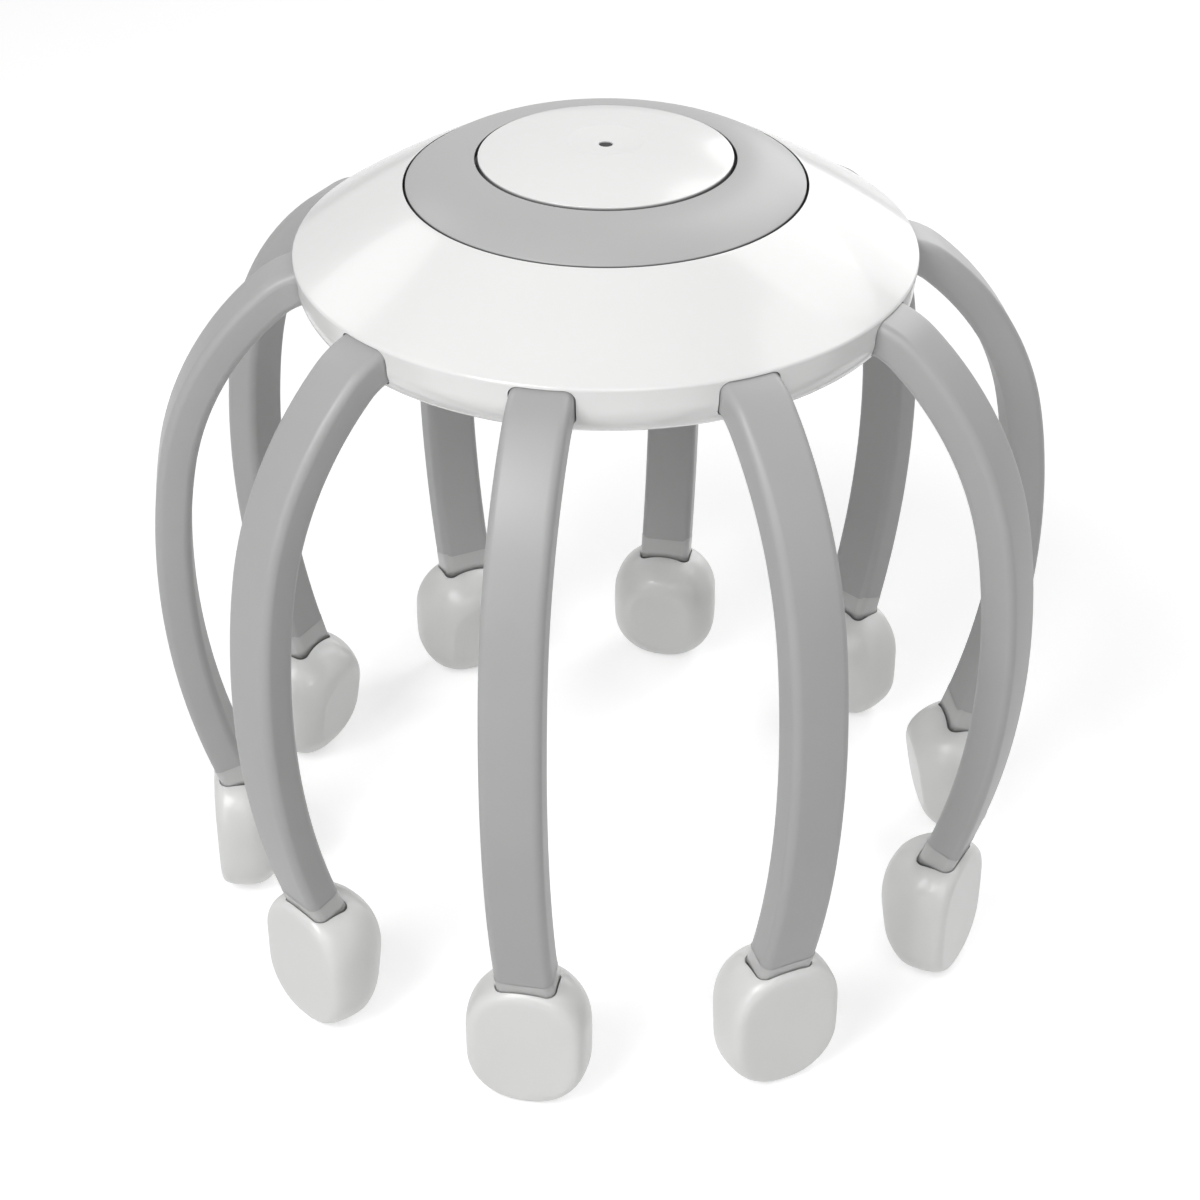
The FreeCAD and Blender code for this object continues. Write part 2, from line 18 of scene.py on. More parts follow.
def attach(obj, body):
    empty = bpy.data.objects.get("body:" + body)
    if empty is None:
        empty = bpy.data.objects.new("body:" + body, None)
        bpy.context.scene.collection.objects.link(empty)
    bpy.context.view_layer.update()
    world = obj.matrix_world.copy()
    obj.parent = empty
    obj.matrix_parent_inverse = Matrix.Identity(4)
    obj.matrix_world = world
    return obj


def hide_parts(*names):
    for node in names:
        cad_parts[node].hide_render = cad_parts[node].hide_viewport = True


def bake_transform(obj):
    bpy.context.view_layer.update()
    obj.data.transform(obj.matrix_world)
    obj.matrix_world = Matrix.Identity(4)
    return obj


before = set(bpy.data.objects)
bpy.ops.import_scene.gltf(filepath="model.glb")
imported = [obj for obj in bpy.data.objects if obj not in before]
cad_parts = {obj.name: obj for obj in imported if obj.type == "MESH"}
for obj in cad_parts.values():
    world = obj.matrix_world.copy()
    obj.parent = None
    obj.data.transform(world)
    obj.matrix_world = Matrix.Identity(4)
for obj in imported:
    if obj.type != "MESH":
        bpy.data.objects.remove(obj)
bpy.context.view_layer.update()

Point = tuple[float, float]
Triple = tuple[float, float, float]
Mesh = bmesh.types.BMesh
Face = bmesh.types.BMFace
Tree = bpy.types.NodeTree
Socket = bpy.types.NodeSocket

LOG = logging.getLogger("massager")
HOUSING = "housing"
BUTTON = "power_button"
ARM_COUNT = 10

# A millimetre in metres and a full turn in radians
MM = 0.001
FULL_TURN = 2.0 * math.pi

# The crease's height over the floor, and how far down a seam's wall keeps its own colour before the painted
# shade begins, in millimetres
CREASE_HEIGHT = 146.6
SEAM = 0.32

# How near the axis a profile starts, and how near two places count as one, in millimetres
NEAR_AXIS = 0.001
CLOSE = 0.02
MERGE = 1e-5

# Values that the finishes share
# Attribute that marks where a finish's second colour goes: painted shade down seam walls, and the pads' film
# grey, partly painted shade
FILM_AND_SHADE_ATTRIBUTE = "film_and_shade_mark"
WHITE = (1.0, 1.0, 1.0, 1.0)
DRIFT_OCTAVES = 2.0
NOISE_FALLOFF = 0.55
GRAIN_SHARE = 0.3
CELL_DENSITY = 0.6
LEAST_ROUGHNESS = 0.02
SCATTER_TINT = (1.0, 0.95, 0.9)


class Grain(Enum):
    """Kinds of fine surface detail, each with the octaves of its noise."""

    PEEL = ("peel", 0.0)
    SATIN = ("satin", 3.0)
    DRAWN = ("drawn", 2.0)
    FOAM = ("foam", 2.0)
    BOARD = ("board", 2.0)

    @property
    def octaves(self) -> float:
        """Octaves of the fine noise."""
        return self.value[1]


@dataclass(frozen=True)
class Finish:
    """One finish: colour, gloss and fine relief, made of nodes. Its sizes are in millimetres."""

    name: str
    colour: Triple
    roughness: float
    grain: Grain
    grain_size: float = 0.6
    grain_depth: float = 0.01
    tint: float = 0.03
    drift: float = 30.0
    gloss_spread: float = 0.04
    metallic: float = 0.0
    coat: float = 0.0
    coat_roughness: float = 0.05
    specular: float = 0.5
    subsurface: float = 0.0
    subsurface_reach: float = 3.0
    stretch: Triple = (1.0, 1.0, 1.0)
    # Second colour where the piece is marked: painted shade in seams, or the pads' film grey, partly painted
    # shade
    film_grey_and_shade_colour: Triple | None = None

    def material(self) -> bpy.types.Material:
        """Returns the finish's material, made once."""
        found = bpy.data.materials.get(f"finish_{self.name}")
        return found if found else self._make()

    def _make(self) -> bpy.types.Material:
        """Builds the node tree.

        Returns:
            The new material.
        """
        material = bpy.data.materials.new(f"finish_{self.name}")
        material.use_nodes = True
        tree = material.node_tree
        shader = tree.nodes["Principled BSDF"]
        place = self._place(tree)
        drift = self._noise(tree, place, self.drift, DRIFT_OCTAVES)
        fine = self._noise(tree, place, self.grain_size, self.grain.octaves)
        self._colour(tree, shader, drift, fine)
        self._gloss(tree, shader, drift)
        self._relief(tree, shader, place, fine)
        settings = {
            "Metallic": self.metallic,
            "Specular IOR Level": self.specular,
            "Coat Weight": self.coat,
            "Coat Roughness": self.coat_roughness,
            "Subsurface Weight": self.subsurface,
            "Subsurface Radius": SCATTER_TINT,
            "Subsurface Scale": self.subsurface_reach * MM,
        }
        for name, value in settings.items():
            shader.inputs[name].default_value = value
        return material

    def _place(self, tree: Tree) -> Socket:
        """Object coordinates, stretched where the grain is drawn out.

        Args:
            tree: The material's node tree.

        Returns:
            The vector socket.
        """
        source = tree.nodes.new("ShaderNodeTexCoord")
        mapping = tree.nodes.new("ShaderNodeMapping")
        mapping.inputs["Scale"].default_value = self.stretch
        tree.links.new(source.outputs["Object"], mapping.inputs["Vector"])
        return mapping.outputs["Vector"]

    def _noise(self, tree: Tree, place: Socket, size: float, octaves: float) -> Socket:
        """A noise texture with features of one size.

        Args:
            tree: The material's node tree.
            place: The vector socket to read.
            size: Distance between features in millimetres.
            octaves: How much finer detail it has.

        Returns:
            The factor socket.
        """
        noise = tree.nodes.new("ShaderNodeTexNoise")
        noise.inputs["Scale"].default_value = 1.0 / (size * MM)
        noise.inputs["Detail"].default_value = octaves
        noise.inputs["Roughness"].default_value = NOISE_FALLOFF
        tree.links.new(place, noise.inputs["Vector"])
        return noise.outputs["Fac"]

    def _mixer(self, tree: Tree, factor: Socket) -> tuple[Socket, Socket, Socket]:
        """Adds a mix of two colours.

        Args:
            tree: The material's node tree.
            factor: How far the second colour takes over.

        Returns:
            The sockets of the first colour, the second and the result.
        """
        mix = tree.nodes.new("ShaderNodeMix")
        mix.data_type = "RGBA"
        tree.links.new(factor, mix.inputs[0])
        first, second = [socket for socket in mix.inputs if socket.type == "RGBA"]
        result = [socket for socket in mix.outputs if socket.type == "RGBA"][0]
        return first, second, result

    def _colour(self, tree: Tree, shader: bpy.types.Node, drift: Socket, fine: Socket) -> None:
        """Lets the colour drift slowly, with a trace of the fine grain.

        Args:
            tree: The material's node tree.
            shader: The surface shader.
            drift: The slow noise.
            fine: The fine noise.
        """
        blend = tree.nodes.new("ShaderNodeMath")
        blend.operation = "MULTIPLY_ADD"
        blend.inputs[1].default_value = GRAIN_SHARE
        tree.links.new(fine, blend.inputs[0])
        tree.links.new(drift, blend.inputs[2])
        low, high, out = self._mixer(tree, blend.outputs[0])
        low.default_value = (*[part * (1.0 - self.tint) for part in self.colour], 1.0)
        high.default_value = (*[min(1.0, part * (1.0 + self.tint)) for part in self.colour], 1.0)
        if self.film_grey_and_shade_colour:
            out = self._film_grey_and_shade(tree, out)
        tree.links.new(out, shader.inputs["Base Color"])

    def _film_grey_and_shade(self, tree: Tree, base: Socket) -> Socket:
        """Lets a second colour take over where the piece is marked: painted shade down the walls of a seam,
        and the grey of the pads' thin silicone film, which is partly painted shade.

        Args:
            tree: The material's node tree.
            base: The colour elsewhere.

        Returns:
            The blended colour.
        """
        film_and_shade_mark = tree.nodes.new("ShaderNodeAttribute")
        film_and_shade_mark.attribute_name = FILM_AND_SHADE_ATTRIBUTE
        plain, second, out = self._mixer(tree, film_and_shade_mark.outputs["Fac"])
        second.default_value = (*self.film_grey_and_shade_colour, 1.0)
        tree.links.new(base, plain)
        return out

    def _gloss(self, tree: Tree, shader: bpy.types.Node, drift: Socket) -> None:
        """Lets the roughness wander a little round its value.

        Args:
            tree: The material's node tree.
            shader: The surface shader.
            drift: The slow noise.
        """
        span = tree.nodes.new("ShaderNodeMapRange")
        span.inputs["To Min"].default_value = max(LEAST_ROUGHNESS, self.roughness - self.gloss_spread)
        span.inputs["To Max"].default_value = min(1.0, self.roughness + self.gloss_spread)
        tree.links.new(drift, span.inputs["Value"])
        tree.links.new(span.outputs["Result"], shader.inputs["Roughness"])

    def _relief(self, tree: Tree, shader: bpy.types.Node, place: Socket, fine: Socket) -> None:
        """Gives the surface its fine bumps, and foam its cells.

        Args:
            tree: The material's node tree.
            shader: The surface shader.
            place: The vector socket for the cells.
            fine: The fine noise.
        """
        height = fine
        if self.grain is Grain.FOAM:
            cells = tree.nodes.new("ShaderNodeTexVoronoi")
            cells.inputs["Scale"].default_value = CELL_DENSITY / (self.grain_size * MM)
            tree.links.new(place, cells.inputs["Vector"])
            total = tree.nodes.new("ShaderNodeMath")
            total.operation = "ADD"
            tree.links.new(fine, total.inputs[0])
            tree.links.new(cells.outputs["Distance"], total.inputs[1])
            height = total.outputs[0]
        bump = tree.nodes.new("ShaderNodeBump")
        bump.inputs["Strength"].default_value = 1.0
        bump.inputs["Distance"].default_value = self.grain_depth * MM
        tree.links.new(height, bump.inputs["Height"])
        tree.links.new(bump.outputs["Normal"], shader.inputs["Normal"])


# Its marked colour is painted shade, dark down the dome's recess wall in the seam round the ring
SHELL_GLOSS = Finish(
    "shell_gloss", (0.890, 0.892, 0.883), 0.20, Grain.PEEL, grain_size=2.2, grain_depth=0.004,
    tint=0.012, gloss_spread=0.03, coat=0.25, coat_roughness=0.06, film_grey_and_shade_colour=(0.09, 0.09, 0.09),
)
# Its marked colour is painted shade on the cap's side wall, in the seam inside the ring
CAP_GLOSS = Finish(
    "cap_gloss", (0.895, 0.897, 0.888), 0.22, Grain.PEEL, grain_size=1.8, grain_depth=0.003,
    tint=0.012, gloss_spread=0.03, coat=0.25, coat_roughness=0.08, film_grey_and_shade_colour=(0.20, 0.20, 0.20),
)
# Its marked colour is painted shade down the ring's walls in its two seams
TRIM_SATIN = Finish(
    "trim_satin", (0.500, 0.501, 0.499), 0.36, Grain.SATIN, grain_size=0.35, grain_depth=0.003,
    tint=0.02, drift=14.0, specular=0.45, film_grey_and_shade_colour=(0.07, 0.07, 0.07),
)
ARM_GREY = Finish(
    "arm_grey", (0.430, 0.430, 0.430), 0.38, Grain.SATIN, grain_size=0.5, grain_depth=0.004,
    tint=0.03, drift=16.0,
)
# Its marked colour is the film's grey on the arm's end: partly the arm seen through thin silicone, partly
# painted shade for the mouth round the arm
PAD_SILICONE = Finish(
    "pad_silicone", (0.785, 0.790, 0.775), 0.34, Grain.SATIN, grain_size=0.6, grain_depth=0.003,
    tint=0.02, drift=12.0, gloss_spread=0.03, subsurface=0.25, coat=0.3, coat_roughness=0.14,
    film_grey_and_shade_colour=(0.560, 0.561, 0.556),
)
LENS_SMOKE = Finish(
    "lens_smoke", (0.050, 0.050, 0.052), 0.50, Grain.PEEL, grain_size=0.8, grain_depth=0.002,
    tint=0.10, drift=1.2, specular=0.12,
)
COVER_MATT = Finish(
    "cover_matt", (0.760, 0.762, 0.752), 0.48, Grain.SATIN, grain_size=0.4, grain_depth=0.012,
    tint=0.02, drift=20.0,
)
SCREW_STEEL = Finish(
    "screw_steel", (0.560, 0.560, 0.570), 0.30, Grain.DRAWN, grain_size=0.25, grain_depth=0.004,
    tint=0.06, drift=1.5, metallic=1.0,
)
SOCKET_STEEL = Finish(
    "socket_steel", (0.620, 0.620, 0.610), 0.26, Grain.DRAWN, grain_size=0.25, grain_depth=0.003,
    tint=0.05, drift=3.0, metallic=1.0, stretch=(1.0, 0.1, 1.0),
)
TONGUE_BLACK = Finish(
    "tongue_black", (0.020, 0.020, 0.021), 0.45, Grain.SATIN, grain_size=0.3, grain_depth=0.004,
    tint=0.10, drift=2.0,
)
CONTACT_GOLD = Finish(
    "contact_gold", (0.780, 0.560, 0.220), 0.24, Grain.DRAWN, grain_size=0.2, grain_depth=0.002,
    tint=0.05, drift=1.0, metallic=1.0,
)
INNER_WHITE = Finish(
    "inner_white", (0.640, 0.640, 0.620), 0.55, Grain.SATIN, grain_size=0.5, grain_depth=0.010,
    tint=0.03, drift=10.0,
)
SPRING_STEEL = Finish(
    "spring_steel", (0.500, 0.500, 0.510), 0.30, Grain.DRAWN, grain_size=0.2, grain_depth=0.003,
    tint=0.06, drift=2.0, metallic=1.0,
)
SWITCH_BLACK = Finish(
    "switch_black", (0.030, 0.030, 0.032), 0.50, Grain.SATIN, grain_size=0.3, grain_depth=0.005,
    tint=0.10, drift=2.0,
)
BOARD_GREEN = Finish(
    "board_green", (0.020, 0.130, 0.045), 0.38, Grain.BOARD, grain_size=0.8, grain_depth=0.010,
    tint=0.18, drift=4.0,
)
LED_CLEAR = Finish(
    "led_clear", (0.800, 0.780, 0.600), 0.25, Grain.PEEL, grain_size=0.6, grain_depth=0.003,
    tint=0.06, drift=1.0,
)
WEIGHT_METAL = Finish(
    "weight_metal", (0.330, 0.320, 0.310), 0.42, Grain.DRAWN, grain_size=0.4, grain_depth=0.010,
    tint=0.10, drift=3.0, metallic=1.0,
)
CELL_WRAP = Finish(
    "cell_wrap", (0.480, 0.490, 0.500), 0.30, Grain.PEEL, grain_size=2.5, grain_depth=0.040,
    tint=0.05, drift=8.0, metallic=0.6,
)
FOAM_GREY = Finish(
    "foam_grey", (0.070, 0.070, 0.075), 0.90, Grain.FOAM, grain_size=0.5, grain_depth=0.080,
    tint=0.20, drift=2.0,
)
WIRE_RED = Finish(
    "wire_red", (0.480, 0.030, 0.025), 0.45, Grain.SATIN, grain_size=0.4, grain_depth=0.004,
    tint=0.06, drift=5.0,
)

CARRIED_OVER: dict[str, Finish] = {
    "bottom_cover": COVER_MATT,
    "arm_keepers": INNER_WHITE,
    "switch_plunger": INNER_WHITE,
    "motor_clip": INNER_WHITE,
    "circuit_board": BOARD_GREEN,
    "charge_board": BOARD_GREEN,
    "tact_switch": SWITCH_BLACK,
    "status_led": LED_CLEAR,
    "motor_can": SOCKET_STEEL,
    "motor_shaft": SOCKET_STEEL,
    "eccentric_weight": WEIGHT_METAL,
    "battery": CELL_WRAP,
    "keeper_screws": SCREW_STEEL,
    "board_screws": SCREW_STEEL,
    "clip_screws": SCREW_STEEL,
    "battery_leads": WIRE_RED,
    "motor_leads": WIRE_RED,
    "charge_leads": WIRE_RED,
}


def arm_places() -> Iterator[tuple[str, float]]:
    """Yields each arm's number as a label, and its angle round the dome's axis in degrees."""
    for number in range(ARM_COUNT):
        yield f"{number + 1:02d}", 360.0 / ARM_COUNT * number


def radial(point: Point) -> Vector:
    """A point of the radial plane as a vector."""
    return Vector((point[0], 0.0, point[1]))


def turned(angle: float) -> Matrix:
    """A turn about the dome's axis, in degrees."""
    return Matrix.Rotation(math.radians(angle), 4, "Z")


def axes(across: Vector, rise: Vector, origin: Vector) -> Matrix:
    """Places a flat shape: its X goes across, its Y up the rise.

    Args:
        across: Direction of the shape's width.
        rise: Direction of the shape's height.
        origin: Where its middle goes.

    Returns:
        The placing matrix.
    """
    normal = across.cross(rise)
    matrix = Matrix((across, rise, normal)).transposed().to_4x4()
    matrix.translation = origin
    return matrix


def only(kind: type, items: list) -> list:
    """The elements of one kind."""
    return [item for item in items if isinstance(item, kind)]


def added(mesh: Mesh, known: set[bmesh.types.BMVert]) -> list[bmesh.types.BMVert]:
    """The vertices that a shape has besides the known ones."""
    return [vert for vert in mesh.verts if vert not in known]


def outward(mesh: Mesh) -> Mesh:
    """Turns every face outwards and hands the shape on."""
    bmesh.ops.recalc_face_normals(mesh, faces=mesh.faces)
    return mesh


class Sketch:
    """A profile in the radial plane, drawn by extruding and spinning its tip."""

    def __init__(self, start: Point) -> None:
        """Starts the profile.

        Args:
            start: Its first point.
        """
        self.mesh = bmesh.new()
        self.first = self.mesh.verts.new(radial(start))
        self.tip = self.first

    def line(self, *points: Point) -> "Sketch":
        """Goes straight to each point in turn.

        Args:
            points: The points to visit.

        Returns:
            The sketch itself.
        """
        for point in points:
            made = bmesh.ops.extrude_vert_indiv(self.mesh, verts=[self.tip])
            self.tip = made["verts"][0]
            bmesh.ops.translate(self.mesh, vec=radial(point) - self.tip.co, verts=[self.tip])
        return self

    def arc(self, middle: Point, end: Point, steps: int) -> "Sketch":
        """Goes round an arc through a middle point.

        Args:
            middle: A point on the arc.
            end: Where the arc stops.
            steps: How many pieces it has.

        Returns:
            The sketch itself.
        """
        start, stop = self.tip.co.copy(), radial(end)
        near, far = radial(middle) - start, stop - start
        normal = near.cross(far)
        pull = far.length_squared * normal.cross(near) - near.length_squared * normal.cross(far)
        centre = start + pull * (1.0 / (2.0 * normal.length_squared))
        first, last = start - centre, stop - centre
        axis = normal.normalized()
        angle = math.atan2(first.cross(last).dot(axis), first.dot(last)) % FULL_TURN
        made = bmesh.ops.spin(
            self.mesh, geom=[self.tip], cent=centre, axis=axis, angle=angle, steps=steps,
            use_merge=False, use_duplicate=False,
        )
        self.tip = only(bmesh.types.BMVert, made["geom_last"])[0]
        return self

    def spun(self, steps: int) -> Mesh:
        """Closes the profile and spins it round the dome's axis.

        Args:
            steps: How many pieces the full turn has.

        Returns:
            The closed shape.
        """
        self.mesh.edges.new((self.tip, self.first))
        bmesh.ops.spin(
            self.mesh, geom=self.mesh.verts[:] + self.mesh.edges[:], cent=(0, 0, 0), axis=(0, 0, 1),
            angle=FULL_TURN, steps=steps, use_merge=True, use_duplicate=False,
        )
        bmesh.ops.remove_doubles(self.mesh, verts=self.mesh.verts, dist=MERGE)
        return outward(self.mesh)


def round_rings(mesh: Mesh, spots: list[Point], size: float, segments: int) -> None:
    """Rounds the circular edges of a spun shape.

    Args:
        mesh: The spun shape.
        spots: Radius and height of each ring to round.
        size: Width of the rounding.
        segments: How fine it is.
    """
    rings = []
    for edge in mesh.edges:
        ends = [(math.hypot(vert.co.x, vert.co.y), vert.co.z) for vert in edge.verts]
        for spot in spots:
            if all(math.dist(end, spot) < CLOSE for end in ends):
                rings.append(edge)
    bmesh.ops.bevel(
        mesh, geom=rings, offset=size, offset_type="OFFSET", segments=segments, profile=0.5,
        affect="EDGES", material=-1, clamp_overlap=True,
    )


def paint_seam_shade_below(mesh: Mesh, radius: float, height: float) -> None:
    """Marks a spun wall from a height down, for the painted shade in the depth of a seam.

    Args:
        mesh: The spun shape.
        radius: The wall's radius.
        height: Where the painted shade begins.
    """
    layer = mesh.verts.layers.float.get(FILM_AND_SHADE_ATTRIBUTE) or mesh.verts.layers.float.new(FILM_AND_SHADE_ATTRIBUTE)
    for vert in mesh.verts:
        if abs(vert.co.to_2d().length - radius) < CLOSE and vert.co.z < height + CLOSE / 2:
            vert[layer] = 1.0


def rounded_face(mesh: Mesh, width: float, height: float, corner: float, segments: int) -> Face:
    """Adds a flat rounded rectangle in the XY plane.

    Args:
        mesh: Where it goes.
        width: Its size along X.
        height: Its size along Y.
        corner: Radius of its corners.
        segments: How fine a corner is.

    Returns:
        The face.
    """
    known = set(mesh.faces)
    made = bmesh.ops.create_grid(mesh, x_segments=1, y_segments=1, size=0.5)
    bmesh.ops.scale(mesh, vec=(width, height, 1.0), verts=made["verts"])
    bmesh.ops.bevel(
        mesh, geom=made["verts"], offset=corner, offset_type="OFFSET", segments=segments,
        profile=0.5, affect="VERTICES", material=-1,
    )
    return [face for face in mesh.faces if face not in known][0]


def block(mesh: Mesh, size: Triple, middle: Triple, rounding: float = 0.0, segments: int = 1) -> None:
    """Adds a block, with its edges rounded where a width is given.

    Args:
        mesh: Where it goes.
        size: Its sizes along X, Y and Z.
        middle: Where its middle goes.
        rounding: Width of the rounding.
        segments: How fine the rounding is.
    """
    known = set(mesh.verts)
    made = bmesh.ops.create_cube(mesh, size=1.0)["verts"]
    bmesh.ops.scale(mesh, vec=size, verts=made)
    if rounding:
        edges = [edge for edge in mesh.edges if edge.verts[0] not in known]
        bmesh.ops.bevel(
            mesh, geom=edges, offset=rounding, offset_type="OFFSET", segments=segments, profile=0.5,
            affect="EDGES", material=-1,
        )
    bmesh.ops.translate(mesh, vec=middle, verts=added(mesh, known))


def push(mesh: Mesh, face: Face, way: Vector) -> Face:
    """Extrudes a face; the face that it starts from stays.

    Args:
        mesh: The shape it is on.
        face: The face to start from.
        way: How far and which way.

    Returns:
        The face at the new end.
    """
    made = bmesh.ops.extrude_face_region(mesh, geom=[face])["geom"]
    bmesh.ops.translate(mesh, vec=way, verts=only(bmesh.types.BMVert, made))
    return only(Face, made)[0]


def swing(mesh: Mesh, face: Face, centre: Vector, angle: float, steps: int) -> Face:
    """Sweeps a face round an axis across the radial plane.

    Args:
        mesh: The shape it is on.
        face: The face to sweep.
        centre: A point on the axis.
        angle: How far, in degrees.
        steps: How many pieces the sweep has.

    Returns:
        The face at the new end.
    """
    made = bmesh.ops.spin(
        mesh, geom=[face, *face.edges, *face.verts], cent=centre, axis=(0, 1, 0),
        angle=math.radians(angle), steps=steps, use_merge=False, use_duplicate=False,
    )
    return only(Face, made["geom_last"])[0]


def plain_object(mesh: Mesh, name: str) -> bpy.types.Object:
    """Makes an object of a shape, still in millimetres.

    Args:
        mesh: The shape; it is used up.
        name: The object's name.

    Returns:
        The linked object.
    """
    data = bpy.data.meshes.new(name)
    mesh.to_mesh(data)
    mesh.free()
    made = bpy.data.objects.new(name, data)
    bpy.context.scene.collection.objects.link(made)
    return made


def applied(target: bpy.types.Object) -> Mesh:
    """Takes an object's shape with its modifiers, and removes the object.

    Args:
        target: The object to read.

    Returns:
        The finished shape.
    """
    bpy.context.view_layer.update()
    graph = bpy.context.evaluated_depsgraph_get()
    data = bpy.data.meshes.new_from_object(target.evaluated_get(graph))
    mesh = bmesh.new()
    mesh.from_mesh(data)
    bpy.data.objects.remove(target)
    bpy.data.meshes.remove(data)
    return mesh


def cut_away(shape: Mesh, tool: Mesh) -> Mesh:
    """Cuts one shape with another.

    Args:
        shape: The shape to work on; it is used up.
        tool: The tool shape; it is used up.

    Returns:
        What is left.
    """
    target = plain_object(shape, "work_target")
    cutter = plain_object(tool, "work_tool")
    step = target.modifiers.new("work", "BOOLEAN")
    step.operation = "DIFFERENCE"
    step.solver = "EXACT"
    step.object = cutter
    mesh = applied(target)
    bpy.data.objects.remove(cutter)
    return mesh


def all_round(shape: Mesh, count: int, start: float = 0.0) -> Mesh:
    """Repeats a shape evenly round the dome's axis.

    Args:
        shape: The shape to repeat.
        count: How many there are in all.
        start: Angle of the first, in degrees.

    Returns:
        The same mesh with all copies.
    """
    bmesh.ops.transform(shape, matrix=turned(start), verts=shape.verts)
    bmesh.ops.spin(
        shape, geom=shape.verts[:] + shape.edges[:] + shape.faces[:], cent=(0, 0, 0), axis=(0, 0, 1),
        angle=FULL_TURN * (count - 1) / count, steps=count - 1, use_duplicate=True,
    )
    return shape


@dataclass
class Piece:
    """A finished piece: what it is called, rides on, stands for and is made of.

    Edges that turn by more than the sharp angle, in degrees, stay crisp.
    """

    name: str
    body: str
    slot: str
    finish: Finish
    nodes: tuple[str, ...]
    sharp: float = 38.0

    def make(self, shape: Mesh, turn: float = 0.0) -> bpy.types.Object:
        """Turns a shape in millimetres into the finished object.

        Args:
            shape: The shape; it is used up.
            turn: Angle round the dome's axis, in degrees.

        Returns:
            The object, dressed but not yet riding on its body.
        """
        lift = Matrix.Translation((0.0, 0.0, CREASE_HEIGHT))
        matrix = Matrix.Scale(MM, 4) @ lift @ turned(turn)
        bmesh.ops.transform(shape, matrix=matrix, verts=shape.verts)
        limit = math.radians(self.sharp)
        for face in shape.faces:
            face.smooth = True
        for edge in shape.edges:
            edge.smooth = not edge.is_manifold or edge.calc_face_angle(0.0) < limit
        made = plain_object(shape, self.name)
        made.data.materials.append(self.finish.material())
        if self.nodes:
            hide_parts(*self.nodes)
        LOG.info("%s: %d faces", self.name, len(made.data.polygons))
        return made

    def fixed(self, shape: Mesh, turn: float = 0.0) -> bpy.types.Object:
        """Makes the object and lets it ride on its body."""
        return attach(self.make(shape, turn), self.body)


@dataclass(frozen=True)
class Bend:
    """A downward bend of an arm's line: its radius, the heading it ends on and its pieces."""

    radius: float
    heading: float
    steps: int


